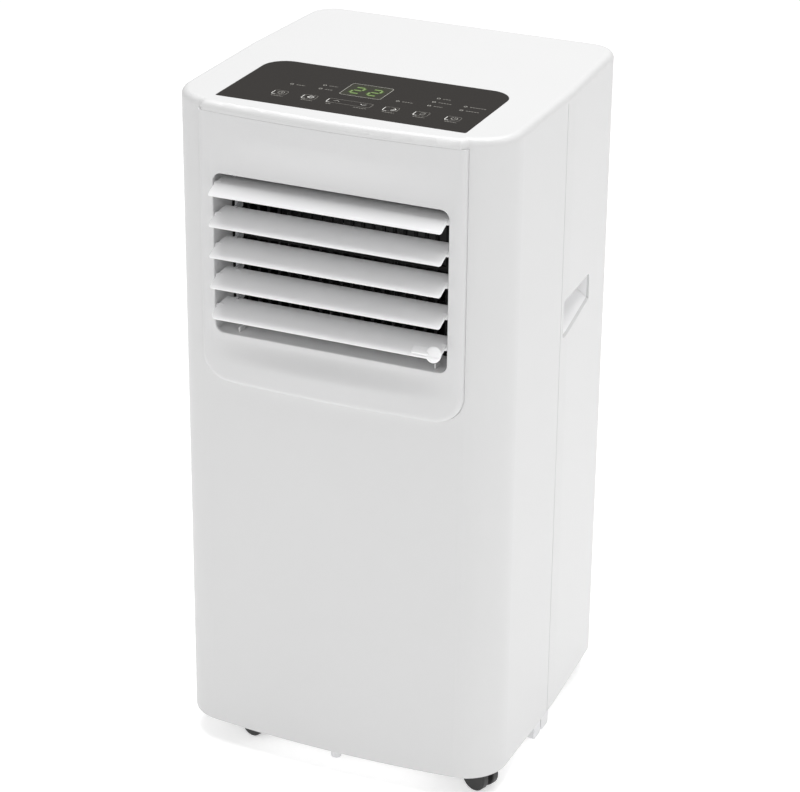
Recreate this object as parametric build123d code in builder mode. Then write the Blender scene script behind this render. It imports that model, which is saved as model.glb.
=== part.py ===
"""Portable air conditioner: a tall plastic cabinet on four castors with a hand-tilted louvre outlet.

Millimetres. +Z is up, -Y is the front. The origin is on the floor, under the middle of the whole unit.
"""
import os
from math import cos, radians, sin, sqrt

from build123d import *

# ---- driving dimensions -------------------------------------------------------------------------
WIDTH = 348.0
DEPTH = 334.0
TOTAL_HEIGHT = 703.0
FLOOR_GAP = 25.0
WALL = 2.5
FRONT_BOW = 12.0          # how far the middle of the front stands ahead of its two ends
FRONT_CORNER_R = 45.0
REAR_CORNER_R = 29.0
REAR_INSET = 8.5          # how far each side draws in by the time it reaches the back
TAPER_START_Y = 20.0
SEAM_Y = 0.0
TOP_COVER_H = 9.0
TOP_EDGE_R = 7.0
PROUD = 5.5               # how far the outlet frame stands out of the front casing

OUTLET_HALF_W = 122.0
OUTLET_LOW_Z = 469.5
OUTLET_HIGH_Z = 633.0
FRAME_HALF_W = 138.0
FRAME_LOW_Z = 417.0
FRAME_CORNER_R = 29.0
TUNNEL_BACK_Y = -126.0

LOUVRE_COUNT = 5
LOUVRE_PITCH = 31.5
LOUVRE_TOP_TIP_Z = 615.0
LOUVRE_TIP_Y = -180.0
LOUVRE_DEPTH = 38.5
LOUVRE_RISE = 8.0
LOUVRE_T = 2.2
LOUVRE_HALF_W = 120.3
PIVOT_Y = -160.0
PIVOT_RISE = 5.5          # pivot height above the louvre's tip
PIVOT_R = 2.5
RUNNING = 0.05            # radial clearance of every turning pin

COLLAR_Z = 330.0
COLLAR_BORE_R = 71.0
REAR_END_Y = 180.0        # the collar's mouth

CASTOR_X = 126.0
CASTOR_Y = 120.0
CASTOR_FRONT_Y = 117.0
CASTOR_TURN = {"front": -20.0, "rear": 180.0}      # each castor's swivel at rest, in degrees from +X
CASTOR_TRAIL = 26.0
CASTOR_WHEEL_R = 15.0

# ---- worked out ---------------------------------------------------------------------------------
HALF_W = WIDTH / 2
FRONT_Y = -DEPTH / 2
BACK_Y = DEPTH / 2
BOW_R = (HALF_W**2 + FRONT_BOW**2) / (2 * FRONT_BOW)
BOW_CENTRE_Y = FRONT_Y + BOW_R
COVER_Z = TOTAL_HEIGHT - TOP_COVER_H
PAN_INSET = WALL + 0.2
os.makedirs("parts", exist_ok=True)


def save(builder, name):
    """Labels a finished piece and writes it."""
    builder.part.label = name
    export_step(builder.part, f"parts/{name}.step")


def block(low, high, mode=Mode.ADD):
    """A box between two corners."""
    size = [b - a for a, b in zip(low, high)]
    middle = [(a + b) / 2 for a, b in zip(low, high)]
    with Locations(tuple(middle)):
        Box(*size, mode=mode)


def rod(centre, radius, length, axis="Z", mode=Mode.ADD):
    """A cylinder that starts at centre and runs a length along +X, +Y or +Z."""
    turn = {"X": (0, 90, 0), "Y": (-90, 0, 0), "Z": (0, 0, 0)}[axis]
    with Locations(Location(centre, turn)):
        Cylinder(radius, length, align=(Align.CENTER, Align.CENTER, Align.MIN), mode=mode)


def plan(height, inward=0.0):
    """The cabinet's plan outline at a height, moved inwards by a distance."""
    with BuildSketch(Plane.XY.offset(height)) as outline:
        with BuildLine():
            side_front_y = FRONT_Y + FRONT_BOW
            back_x = HALF_W - REAR_INSET
            ThreePointArc((-HALF_W, side_front_y), (0, FRONT_Y), (HALF_W, side_front_y))
            Polyline(
                (HALF_W, side_front_y),
                (HALF_W, TAPER_START_Y),
                (back_x, BACK_Y),
                (-back_x, BACK_Y),
                (-HALF_W, TAPER_START_Y),
                (-HALF_W, side_front_y),
            )
        make_face()
        corners = outline.vertices().sort_by(Axis.Y)
        fillet(corners[:2], FRONT_CORNER_R)
        corners = outline.vertices().sort_by(Axis.Y)
        fillet(corners[-2:], REAR_CORNER_R)
        if inward:
            offset(amount=-inward)
    return outline.sketch


def bowed_band(height, half_width, front_radius, back_y):
    """A plan region behind the bowed front: an arc in front, straight sides and a straight back."""
    front_x_y = BOW_CENTRE_Y - sqrt(front_radius**2 - half_width**2)
    with BuildSketch(Plane.XY.offset(height)) as region:
        with BuildLine():
            ThreePointArc(
                (-half_width, front_x_y),
                (0, BOW_CENTRE_Y - front_radius),
                (half_width, front_x_y),
            )
            Polyline(
                (half_width, front_x_y),
                (half_width, back_y),
                (-half_width, back_y),
                (-half_width, front_x_y),
            )
        make_face()
    return region.sketch


def front_shield(half_width, low_z, high_z, corner_r):
    """A front elevation with its two lower corners rounded, drawn on the plane y = 0."""
    with BuildSketch(Plane.XZ) as shield:
        with Locations((0, (low_z + high_z) / 2)):
            Rectangle(2 * half_width, high_z - low_z)
        if corner_r:
            fillet(shield.vertices().group_by(Axis.Y)[0], corner_r)
    return shield.sketch


def front_window(half_width, low_z, high_z, corner_r):
    """A rounded rectangle in the front elevation, drawn on the plane y = 0."""
    with BuildSketch(Plane.XZ) as window:
        with Locations((0, (low_z + high_z) / 2)):
            RectangleRounded(2 * half_width, high_z - low_z, corner_r)
    return window.sketch


# ---- casings ------------------------------------------------------------------------------------
SEAM_GROOVE = 0.8
TONGUE_H = 4.0
FOOT_Z = FLOOR_GAP

HANDLE_FRONT_Y = 6.0
HANDLE_REAR_Y = 88.0
HANDLE_LOW_Z = 447.5
HANDLE_LOW_REAR_Z = 457.0
HANDLE_HIGH_Z = 488.0
HANDLE_POCKET_X = 152.0
HANDLE_LIP_X = 167.0           # the finger room rises behind the mouth's top edge from here inwards
HANDLE_RAMP_RUN = 1.4          # how far the recess's floor runs inwards for each millimetre it rises

UPPER_GRILLE = (-128.0, 128.0, 436.0, 656.0)      # x0, x1, z0, z1 of the intake opening
LOWER_GRILLE = (-118.0, 118.0, 84.0, 226.0)
SPOUTS = {"upper": (-130.0, 262.0), "lower": (-60.0, 42.0)}     # x, z of the two drains
SPOUT_R = 9.0
SPOUT_BORE_R = 7.0
INLET = (104.0, 132.0, 251.0, 273.0)              # x0, x1, z0, z1 of the mains inlet
SCREW_HEIGHTS = (110.0, 330.0, 600.0)
SCREW_R = 1.5
SCREW_X = HALF_W - WALL - 5
PANEL_SEAM_X = 143.0


def casing_shell():
    """The cabinet's wall, open at the top and the bottom."""
    height = COVER_Z - FOOT_Z
    extrude(plan(FOOT_Z), amount=height)
    extrude(plan(FOOT_Z - 1, WALL), amount=height + 2, mode=Mode.SUBTRACT)


with BuildPart() as front_casing:
    casing_shell()
    block((-HALF_W - 5, SEAM_Y, 0), (HALF_W + 5, BACK_Y + 5, TOTAL_HEIGHT), Mode.SUBTRACT)
    # the seam's shadow groove
    for side in (-1, 1):
        block(
            (min(side * (HALF_W - SEAM_GROOVE), side * (HALF_W + 5)), SEAM_Y - 0.9, FOOT_Z - 1),
            (max(side * (HALF_W - SEAM_GROOVE), side * (HALF_W + 5)), SEAM_Y + 1, COVER_Z + 1),
            Mode.SUBTRACT,
        )
    # the aperture that takes the outlet frame
    extrude(
        front_shield(FRAME_HALF_W + 0.2, FRAME_LOW_Z - 0.2, COVER_Z + 5, FRAME_CORNER_R),
        amount=200,
        mode=Mode.SUBTRACT,
    )
    # screw bosses along the seam, behind the side walls
    for side in (-1, 1):
        for z in SCREW_HEIGHTS:
            low_x, high_x = sorted((side * (HALF_W - WALL), side * (HALF_W - WALL - 9)))
            block((low_x, SEAM_Y - 16, z - 6), (high_x, SEAM_Y, z + 6))
            rod((side * SCREW_X, SEAM_Y - 12, z), SCREW_R, 13, "Y", Mode.SUBTRACT)
save(front_casing, "front_casing")


def handle_opening():
    """The handle's mouth in the side elevation, drawn on the plane x = 0."""
    with BuildSketch(Plane.YZ) as mouth:
        with BuildLine():
            Polyline(
                (HANDLE_FRONT_Y, HANDLE_LOW_Z),
                (HANDLE_REAR_Y, HANDLE_LOW_REAR_Z),
                (HANDLE_REAR_Y, HANDLE_HIGH_Z),
                (HANDLE_FRONT_Y, HANDLE_HIGH_Z),
                close=True,
            )
        make_face()
        fillet(mouth.vertices(), 4)
    return mouth.sketch


with BuildPart() as handle_recess:
    # the right side's recess: its floor rises inwards from the mouth's lower edge
    extrude(handle_opening(), amount=HALF_W + 5)
    block(
        (0, HANDLE_FRONT_Y - 5, HANDLE_LOW_Z - 10),
        (HANDLE_LIP_X - 5, HANDLE_REAR_Y + 5, HANDLE_HIGH_Z + 10),
        Mode.SUBTRACT,
    )
    block(
        (HANDLE_POCKET_X, HANDLE_FRONT_Y, HANDLE_LOW_Z),
        (HANDLE_LIP_X, HANDLE_REAR_Y, HANDLE_HIGH_Z + 11),
    )
    with BuildSketch(Plane.XZ.offset(-HANDLE_FRONT_Y + 5)):
        with BuildLine():
            fall = 5 * (HANDLE_LOW_REAR_Z - HANDLE_LOW_Z) / (HANDLE_REAR_Y - HANDLE_FRONT_Y)
            mouth_z = HANDLE_LOW_Z - fall
            pocket_z = mouth_z + (HALF_W - HANDLE_POCKET_X + 5) / HANDLE_RAMP_RUN
            Polyline(
                (HALF_W + 10, mouth_z - 10 / HANDLE_RAMP_RUN),
                (HANDLE_POCKET_X - 5, pocket_z),
                (HANDLE_POCKET_X - 5, HANDLE_HIGH_Z + 60),
                (HALF_W + 10, HANDLE_HIGH_Z + 60),
                close=True,
            )
        make_face()
    along = Vector(0, HANDLE_REAR_Y - HANDLE_FRONT_Y, HANDLE_LOW_REAR_Z - HANDLE_LOW_Z)
    extrude(amount=along.length + 12, dir=tuple(along.normalized()), mode=Mode.INTERSECT)


with BuildPart() as rear_shell:
    casing_shell()
    block((-HALF_W - 5, FRONT_Y - 5, 0), (HALF_W + 5, SEAM_Y, TOTAL_HEIGHT), Mode.SUBTRACT)
    add(handle_recess.part, mode=Mode.SUBTRACT)
    add(handle_recess.part.mirror(Plane.YZ), mode=Mode.SUBTRACT)
    for x0, x1, z0, z1 in (UPPER_GRILLE, LOWER_GRILLE):
        with BuildSketch(Plane.XZ.offset(-BACK_Y - 5)):
            with Locations(((x0 + x1) / 2, (z0 + z1) / 2)):
                RectangleRounded(x1 - x0, z1 - z0, 8)
        extrude(amount=20, mode=Mode.SUBTRACT)
    rod((0, BACK_Y - 10, COLLAR_Z), COLLAR_BORE_R + 3.2, 20, "Y", Mode.SUBTRACT)
    for x, z in SPOUTS.values():
        rod((x, BACK_Y - 10, z), SPOUT_R + 0.3, 20, "Y", Mode.SUBTRACT)
    block((INLET[0], BACK_Y - 10, INLET[2]), (INLET[1], BACK_Y + 10, INLET[3]), Mode.SUBTRACT)
    # screw tabs that meet the front casing's bosses
    for side in (-1, 1):
        for z in SCREW_HEIGHTS:
            low_x, high_x = sorted((side * (HALF_W - WALL), side * (HALF_W - WALL - 9)))
            block((low_x, SEAM_Y, z - 6), (high_x, SEAM_Y + 6, z + 6))
            rod((side * SCREW_X, SEAM_Y - 1, z), SCREW_R + 0.2, 8, "Y", Mode.SUBTRACT)

# the rear half is three panels: a back panel between two side panels that wrap the rear corners
for name, low_x, high_x in (
    ("side_panel_left", -HALF_W - 5, -PANEL_SEAM_X),
    ("rear_casing", -PANEL_SEAM_X, PANEL_SEAM_X),
    ("side_panel_right", PANEL_SEAM_X, HALF_W + 5),
):
    with BuildPart() as panel:
        add(rear_shell.part)
        block((low_x, SEAM_Y - 5, 0), (high_x, BACK_Y + 5, TOTAL_HEIGHT), Mode.INTERSECT)
        if name == "rear_casing":
            for low in (-PANEL_SEAM_X - 1, PANEL_SEAM_X - 0.9):
                block(
                    (low, BACK_Y - SEAM_GROOVE, FOOT_Z - 1),
                    (low + 1.9, BACK_Y + 5, COVER_Z + 1),
                    Mode.SUBTRACT,
                )
    save(panel, name)

# the lip of the top cover that carries the outlet frame's front up to the top
LIP_HALF_W = FRAME_HALF_W
BEVEL = 6.0
with BuildPart() as cover_lip:
    extrude(bowed_band(COVER_Z, LIP_HALF_W, BOW_R + PROUD, -120), amount=TOP_COVER_H)
    chamfer(cover_lip.edges().filter_by(Axis.Z).group_by(Axis.Y)[0], BEVEL)
    top_front = (
        cover_lip.faces().sort_by(Axis.Z)[-1].edges().filter_by(lambda e: e.center().Y < -130)
    )
    fillet(top_front, TOP_EDGE_R)

PANEL_HALF_W = 128.3
PANEL_FRONT_Y = -145.0
PANEL_REAR_Y = -20.0
PANEL_REAR_R = 24.0
PANEL_T = 0.8


def panel_outline(height, inward=0.0):
    """The control panel's outline: square in front, rounded at its two rear corners."""
    with BuildSketch(Plane.XY.offset(height)) as outline:
        with Locations((0, (PANEL_FRONT_Y + PANEL_REAR_Y) / 2)):
            Rectangle(2 * PANEL_HALF_W, PANEL_REAR_Y - PANEL_FRONT_Y)
        fillet(outline.vertices().group_by(Axis.Y)[-1], PANEL_REAR_R)
        fillet(outline.vertices().group_by(Axis.Y)[0], 2.0)
        if inward:
            offset(amount=-inward)
    return outline.sketch


DISPLAY_CENTRE = (-3.3, -74.0)
DISPLAY_SIZE = (44.0, 36.0)
with BuildPart() as top_cover:
    extrude(plan(COVER_Z), amount=TOP_COVER_H)
    fillet(top_cover.faces().sort_by(Axis.Z)[-1].edges(), TOP_EDGE_R)
    add(cover_lip.part)
    extrude(plan(COVER_Z - 1, WALL), amount=TOP_COVER_H - 2, mode=Mode.SUBTRACT)
    extrude(panel_outline(TOTAL_HEIGHT - PANEL_T, -0.2), amount=2, mode=Mode.SUBTRACT)
    block(
        (DISPLAY_CENTRE[0] - 19, DISPLAY_CENTRE[1] - 15, COVER_Z - 1),
        (DISPLAY_CENTRE[0] + 19, DISPLAY_CENTRE[1] + 15, TOTAL_HEIGHT),
        Mode.SUBTRACT,
    )
save(top_cover, "top_cover")

def display_outline(height, inward=0.0):
    """The display's rounded window in the control panel."""
    with BuildSketch(Plane.XY.offset(height)) as outline:
        with Locations(DISPLAY_CENTRE):
            RectangleRounded(DISPLAY_SIZE[0] - 2 * inward, DISPLAY_SIZE[1] - 2 * inward, 3)
    return outline.sketch


with BuildPart() as control_panel:
    extrude(panel_outline(TOTAL_HEIGHT - PANEL_T), amount=PANEL_T - 0.1)
    extrude(display_outline(TOTAL_HEIGHT - PANEL_T - 1), amount=3, mode=Mode.SUBTRACT)
save(control_panel, "control_panel")

with BuildPart() as display_window:
    extrude(display_outline(TOTAL_HEIGHT - PANEL_T, 0.1), amount=PANEL_T - 0.1)
save(display_window, "display_window")

BOARD_Z = 684.0
BOARD_T = 1.6
with BuildPart() as display_module:
    block(
        (DISPLAY_CENTRE[0] - 18, DISPLAY_CENTRE[1] - 14, BOARD_Z + BOARD_T),
        (DISPLAY_CENTRE[0] + 18, DISPLAY_CENTRE[1] + 14, TOTAL_HEIGHT - PANEL_T - 0.2),
    )
save(display_module, "display_module")

with BuildPart() as control_board:
    block((-95, -124, BOARD_Z), (95, -38, BOARD_Z + BOARD_T))
    # posts up to the cover's underside, the connector and the buzzer
    for x, y in ((-90, -119), (90, -119), (-90, -43), (90, -43)):
        rod((x, y, BOARD_Z + BOARD_T), 3, TOTAL_HEIGHT - 3 - BOARD_Z - BOARD_T)
    block((50, -60, BOARD_Z - 8), (80, -52, BOARD_Z))
    rod((-60, -60, BOARD_Z - 6), 6, 6)
save(control_board, "control_board")

with BuildPart() as casing_screws:
    for side in (-1, 1):
        for z in SCREW_HEIGHTS:
            rod((side * SCREW_X, SEAM_Y - 11, z), SCREW_R, 17, "Y")
            rod((side * SCREW_X, SEAM_Y + 6, z), 3.0, 2.2, "Y")
save(casing_screws, "casing_screws")

# ---- outlet frame -------------------------------------------------------------------------------
FRAME_WALL = 3.0
SIDE_WALL = 2.5
DISH_Y = -165.5           # the flat floor of the shallow dish around the outlet
DISH_HALF_W = 127.0
DISH_LOW_Z = 450.0
DISH_HIGH_Z = 652.0
DISH_CORNER_R = 16.0
TUNNEL_CEILING_Z = 648.0
PIVOT_Z = [
    LOUVRE_TOP_TIP_Z + PIVOT_RISE - LOUVRE_PITCH * row for row in range(LOUVRE_COUNT)
]

with BuildPart() as outlet_frame:
    extrude(
        bowed_band(FRAME_LOW_Z, FRAME_HALF_W + 20, BOW_R + PROUD, -150),
        amount=COVER_Z - FRAME_LOW_Z,
    )
    extrude(
        front_shield(FRAME_HALF_W, FRAME_LOW_Z, COVER_Z, FRAME_CORNER_R),
        amount=200,
        mode=Mode.INTERSECT,
    )
    front_face = outlet_frame.faces().sort_by(Axis.Y)[0]
    rim = front_face.edges().filter_by(lambda e: e.center().Z < COVER_Z - 1)
    chamfer(rim, PROUD)
    # hollow behind the front wall, and the dish in front of it
    block(
        (-FRAME_HALF_W + 8, DISH_Y + FRAME_WALL, FRAME_LOW_Z + 8),
        (FRAME_HALF_W - 8, -140, COVER_Z - 3),
        Mode.SUBTRACT,
    )
    with BuildSketch(Plane.XZ.offset(-DISH_Y)):
        with Locations((0, (DISH_LOW_Z + DISH_HIGH_Z) / 2)):
            RectangleRounded(2 * DISH_HALF_W, DISH_HIGH_Z - DISH_LOW_Z, DISH_CORNER_R)
    extrude(amount=50, mode=Mode.SUBTRACT)
    # the air tunnel's walls, then its bore and the window in the front wall
    block(
        (-OUTLET_HALF_W - SIDE_WALL, DISH_Y + 1, OUTLET_LOW_Z - SIDE_WALL),
        (OUTLET_HALF_W + SIDE_WALL, TUNNEL_BACK_Y, TUNNEL_CEILING_Z + SIDE_WALL),
    )
    block(
        (-OUTLET_HALF_W, DISH_Y + FRAME_WALL, OUTLET_LOW_Z),
        (OUTLET_HALF_W, TUNNEL_BACK_Y + 1, TUNNEL_CEILING_Z),
        Mode.SUBTRACT,
    )
    extrude(
        front_window(OUTLET_HALF_W, OUTLET_LOW_Z, OUTLET_HIGH_Z, 9),
        amount=200,
        mode=Mode.SUBTRACT,
    )
    # two small ribs on the tunnel's floor
    for x in (-100.0, 107.0):
        block((x - 1, -158, OUTLET_LOW_Z), (x + 1, -146, OUTLET_LOW_Z + 5))
    for z in PIVOT_Z:
        for x in (-OUTLET_HALF_W - SIDE_WALL - 1, OUTLET_HALF_W - 1):
            rod((x, PIVOT_Y, z), PIVOT_R + RUNNING, SIDE_WALL + 2, "X", Mode.SUBTRACT)
save(outlet_frame, "outlet_frame")

GUARD_T = 3.0
GUARD_BAR_PITCH = 11.0
with BuildPart() as outlet_guard:
    guard_low = (-OUTLET_HALF_W - SIDE_WALL, TUNNEL_BACK_Y, OUTLET_LOW_Z - SIDE_WALL)
    guard_high = (OUTLET_HALF_W + SIDE_WALL, TUNNEL_BACK_Y + GUARD_T, TUNNEL_CEILING_Z + SIDE_WALL)
    block(guard_low, guard_high)
    slot_count = int(2 * (OUTLET_HALF_W - 6) // GUARD_BAR_PITCH)
    slot_h = (TUNNEL_CEILING_Z - OUTLET_LOW_Z - 20) / 2
    with BuildSketch(Plane.XZ.offset(-TUNNEL_BACK_Y + 1)):
        with Locations((0, (TUNNEL_CEILING_Z + OUTLET_LOW_Z) / 2)):
            with GridLocations(GUARD_BAR_PITCH, slot_h + 4, slot_count, 2):
                Rectangle(GUARD_BAR_PITCH - 3, slot_h)
    extrude(amount=-GUARD_T - 2, mode=Mode.SUBTRACT)
save(outlet_guard, "outlet_guard")

# ---- louvres and their link ---------------------------------------------------------------------
CRANK_X = -109.7          # the face of each crank arm that meets the link bar
CRANK_T = 3.0
LINK_T = 3.2
LINK_GAP = 0.3
CRANK_PIN_R = 1.5
CRANK_PIN_Y = -134.0
CRANK_PIN_RISE = 9.0
TAB_X = 113.0             # the middle of the finger tab's round lobe
TAB_R = 8.0
TAB_SLOPE = 28.0          # the raised ridge beside it lies along the louvre's lip


def louvre(tip_z, last):
    """One louvre, with its two pivots and its crank; the lowest one has the finger tab."""
    pivot_z = tip_z + PIVOT_RISE
    inner_y = LOUVRE_TIP_Y + LOUVRE_DEPTH
    half_t = LOUVRE_T / 2
    with BuildPart() as blade:
        with BuildSketch(Plane.YZ.offset(-LOUVRE_HALF_W)):
            with BuildLine():
                bend_y = LOUVRE_TIP_Y + 17
                ThreePointArc(
                    (LOUVRE_TIP_Y, tip_z + half_t),
                    (bend_y, tip_z + 6.7 + half_t),
                    (inner_y, tip_z + LOUVRE_RISE + half_t),
                )
                Line(
                    (inner_y, tip_z + LOUVRE_RISE + half_t),
                    (inner_y, tip_z + LOUVRE_RISE - half_t),
                )
                ThreePointArc(
                    (inner_y, tip_z + LOUVRE_RISE - half_t),
                    (bend_y + 0.4, tip_z + 6.7 - half_t),
                    (LOUVRE_TIP_Y + 1.2, tip_z - half_t),
                )
                Line((LOUVRE_TIP_Y + 1.2, tip_z - half_t), (LOUVRE_TIP_Y, tip_z + half_t))
            make_face()
        extrude(amount=2 * LOUVRE_HALF_W)
        # pivot bosses and pins
        for start, length in ((-LOUVRE_HALF_W, 6.0), (LOUVRE_HALF_W - 6.0, 6.0)):
            rod((start, PIVOT_Y, pivot_z), PIVOT_R + 1.0, length, "X")
        rod((-LOUVRE_HALF_W - 4.0, PIVOT_Y, pivot_z), PIVOT_R, 8.0, "X")
        rod((LOUVRE_HALF_W - 4.0, PIVOT_Y, pivot_z), PIVOT_R, 8.0, "X")
        # crank arm and its pin
        pin_z = tip_z + CRANK_PIN_RISE
        block((CRANK_X, inner_y - 6, pin_z - 2.6), (CRANK_X + CRANK_T, CRANK_PIN_Y, pin_z + 2.6))
        rod((CRANK_X, CRANK_PIN_Y, pin_z), 2.6, CRANK_T, "X")
        pin_length = LINK_GAP + LINK_T + 0.8
        rod((CRANK_X - pin_length, CRANK_PIN_Y, pin_z), CRANK_PIN_R, pin_length + 1, "X")
        if last:
            lean = Plane((TAB_X, LOUVRE_TIP_Y + 3.8, tip_z + 3.5), (1, 0, 0), (0, 0.94, -0.34))
            with BuildSketch(lean):
                Circle(TAB_R)
            extrude(amount=1.1, both=True)
            with Locations(Location((TAB_X - 13, LOUVRE_TIP_Y + 5.2, tip_z + 4.6), (TAB_SLOPE, 0, 0))):
                Box(18, 9, 2.6)
    return blade


for row in range(LOUVRE_COUNT):
    blade = louvre(LOUVRE_TOP_TIP_Z - LOUVRE_PITCH * row, row == LOUVRE_COUNT - 1)
    save(blade, f"louvre_{row + 1}")

with BuildPart() as louvre_link:
    low_pin = LOUVRE_TOP_TIP_Z - LOUVRE_PITCH * (LOUVRE_COUNT - 1) + CRANK_PIN_RISE
    high_pin = LOUVRE_TOP_TIP_Z + CRANK_PIN_RISE
    link_x = CRANK_X - LINK_GAP - LINK_T
    block((link_x, CRANK_PIN_Y - 3, low_pin), (link_x + LINK_T, CRANK_PIN_Y + 3, high_pin))
    for z in (low_pin, high_pin):
        rod((link_x, CRANK_PIN_Y, z), 3.0, LINK_T, "X")
    for row in range(LOUVRE_COUNT):
        z = high_pin - LOUVRE_PITCH * row
        rod((link_x - 1, CRANK_PIN_Y, z), CRANK_PIN_R + RUNNING, LINK_T + 2, "X", Mode.SUBTRACT)
save(louvre_link, "louvre_link")

# ---- handle cups --------------------------------------------------------------------------------
for side, name in ((-1, "left"), (1, "right")):
    with BuildPart() as handle_cup:
        block(
            (HANDLE_POCKET_X - 2.5, HANDLE_FRONT_Y - 2.5, HANDLE_LOW_Z - 6),
            (HALF_W, HANDLE_REAR_Y + 2.5, HANDLE_HIGH_Z + 14),
        )
        add(handle_recess.part, mode=Mode.SUBTRACT)
        extrude(plan(HANDLE_LOW_Z - 10, WALL), amount=80, mode=Mode.INTERSECT)
        if side < 0:
            mirror(about=Plane.YZ, mode=Mode.REPLACE)
    save(handle_cup, f"handle_cup_{name}")

# ---- base pan, feet and castors -----------------------------------------------------------------
PAN_FLOOR_T = 4.0
PAN_WALL_TOP = 62.0
WELL_R = 39.5
WELL_TOP_Z = 38.0
STEM_R = 4.0
STEM_TOP_Z = 49.0
SOCKET_R = 6.0
CASTOR_SPOTS = [
    (-CASTOR_X, -CASTOR_FRONT_Y),
    (CASTOR_X, -CASTOR_FRONT_Y),
    (-CASTOR_X, CASTOR_Y),
    (CASTOR_X, CASTOR_Y),
]
LUG_LOW_Z = 5.0

with BuildPart() as base_pan:
    extrude(plan(FOOT_Z, PAN_INSET), amount=PAN_WALL_TOP - FOOT_Z)
    extrude(
        plan(FOOT_Z + PAN_FLOOR_T, PAN_INSET + 3),
        amount=PAN_WALL_TOP - FOOT_Z,
        mode=Mode.SUBTRACT,
    )
    for x, y in CASTOR_SPOTS:
        rod((x, y, FOOT_Z), WELL_R + 2.5, WELL_TOP_Z + 3 - FOOT_Z)
        rod((x, y, WELL_TOP_Z), SOCKET_R + 4, STEM_TOP_Z + 3 - WELL_TOP_Z)
    extrude(plan(FOOT_Z - 1, PAN_INSET), amount=PAN_WALL_TOP, mode=Mode.INTERSECT)
    for x, y in CASTOR_SPOTS:
        rod((x, y, FOOT_Z - 1), WELL_R, WELL_TOP_Z + 1 - FOOT_Z, mode=Mode.SUBTRACT)
        rod((x, y, WELL_TOP_Z - 1), SOCKET_R, STEM_TOP_Z + 1 - WELL_TOP_Z, mode=Mode.SUBTRACT)
    spout_x, spout_z = SPOUTS["lower"]
    rod((spout_x, 155, spout_z), SPOUT_R, 20, "Y", Mode.SUBTRACT)
save(base_pan, "base_pan")

with BuildPart() as middle_foot:
    rod((0, -150, 10), 5.5, FOOT_Z - 10)
    fillet(middle_foot.edges().filter_by(GeomType.CIRCLE).sort_by(Axis.Z)[0], 1.5)
save(middle_foot, "middle_foot")

with BuildPart() as seam_lugs:
    for side in (-1, 1):
        for low_y, high_y in ((-30.0, -11.0), (-9.0, 11.0)):
            low_x, high_x = sorted((side * 164.0, side * 171.0))
            block((low_x, low_y, LUG_LOW_Z), (high_x, high_y, FOOT_Z))
    fillet(seam_lugs.edges().filter_by(Axis.X).group_by(Axis.Z)[0], 4)
save(seam_lugs, "seam_lugs")

with BuildPart() as castor_sockets:
    for x, y in CASTOR_SPOTS:
        rod((x, y, WELL_TOP_Z), SOCKET_R, STEM_TOP_Z - WELL_TOP_Z)
        rod((x, y, WELL_TOP_Z - 1), STEM_R + RUNNING, STEM_TOP_Z - WELL_TOP_Z, mode=Mode.SUBTRACT)
save(castor_sockets, "castor_sockets")

CROWN_LOW_Z = 31.5
CROWN_R = 11.0
AXLE_R = 2.0
WEB_HALF_T = 3.0
WHEEL_W = 8.0
for number, (x, y) in enumerate(CASTOR_SPOTS, start=1):
    turn = CASTOR_TURN["front" if y < 0 else "rear"]
    stem_axis = Axis((x, y, 0), (0, 0, 1))
    wheel_x = x + CASTOR_TRAIL
    with BuildPart() as castor_fork:
        rod((x, y, CROWN_LOW_Z), CROWN_R, WELL_TOP_Z - 0.3 - CROWN_LOW_Z)
        rod((x, y, CROWN_LOW_Z), STEM_R, STEM_TOP_Z - 1 - CROWN_LOW_Z)
        with BuildSketch(Plane.XZ.offset(-y - WEB_HALF_T)):
            with BuildLine():
                Polyline(
                    (x - CROWN_R + 1, CROWN_LOW_Z + 1),
                    (x - 4, CROWN_LOW_Z - 12),
                    (wheel_x - 3, CASTOR_WHEEL_R - 5),
                    (wheel_x + 5, CASTOR_WHEEL_R),
                    (x + CROWN_R - 1, CROWN_LOW_Z + 1),
                    close=True,
                )
            make_face()
        extrude(amount=2 * WEB_HALF_T)
        rod((wheel_x, y - WEB_HALF_T, CASTOR_WHEEL_R), 6, 2 * WEB_HALF_T, "Y")
        rod(
            (wheel_x, y - WEB_HALF_T - 1, CASTOR_WHEEL_R),
            AXLE_R + RUNNING,
            2 * WEB_HALF_T + 2,
            "Y",
            Mode.SUBTRACT,
        )
    with BuildPart() as turned_fork:
        add(castor_fork.part.rotate(stem_axis, turn))
    save(turned_fork, f"castor_fork_{number}")
    with BuildPart() as castor_wheels:
        for start in (y - WEB_HALF_T - 0.5 - WHEEL_W, y + WEB_HALF_T + 0.5):
            rod((wheel_x, start, CASTOR_WHEEL_R), CASTOR_WHEEL_R, WHEEL_W, "Y")
        fillet(castor_wheels.edges().filter_by(GeomType.CIRCLE), 1.5)
        rod(
            (wheel_x, y - WEB_HALF_T - 1, CASTOR_WHEEL_R), AXLE_R, 2 * WEB_HALF_T + 2, "Y"
        )
    with BuildPart() as turned_wheels:
        add(castor_wheels.part.rotate(stem_axis, turn))
    save(turned_wheels, f"castor_wheels_{number}")

# ---- float switch in the pan --------------------------------------------------------------------
FLOAT_X, FLOAT_Y = 90.0, -60.0
FLOAT_STEM_R = 3.0
FLOAT_LOW_Z = 35.0
FLOAT_H = 11.0
FLOAT_TRAVEL = 12.0
with BuildPart() as float_stem:
    rod((FLOAT_X, FLOAT_Y, FOOT_Z + PAN_FLOOR_T), FLOAT_STEM_R, 32)
    rod((FLOAT_X, FLOAT_Y, FOOT_Z + PAN_FLOOR_T), 6, FLOAT_LOW_Z - FOOT_Z - PAN_FLOOR_T)
    rod((FLOAT_X, FLOAT_Y, FLOAT_LOW_Z + FLOAT_H + FLOAT_TRAVEL + 0.5), 5, 4)
save(float_stem, "float_stem")

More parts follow.
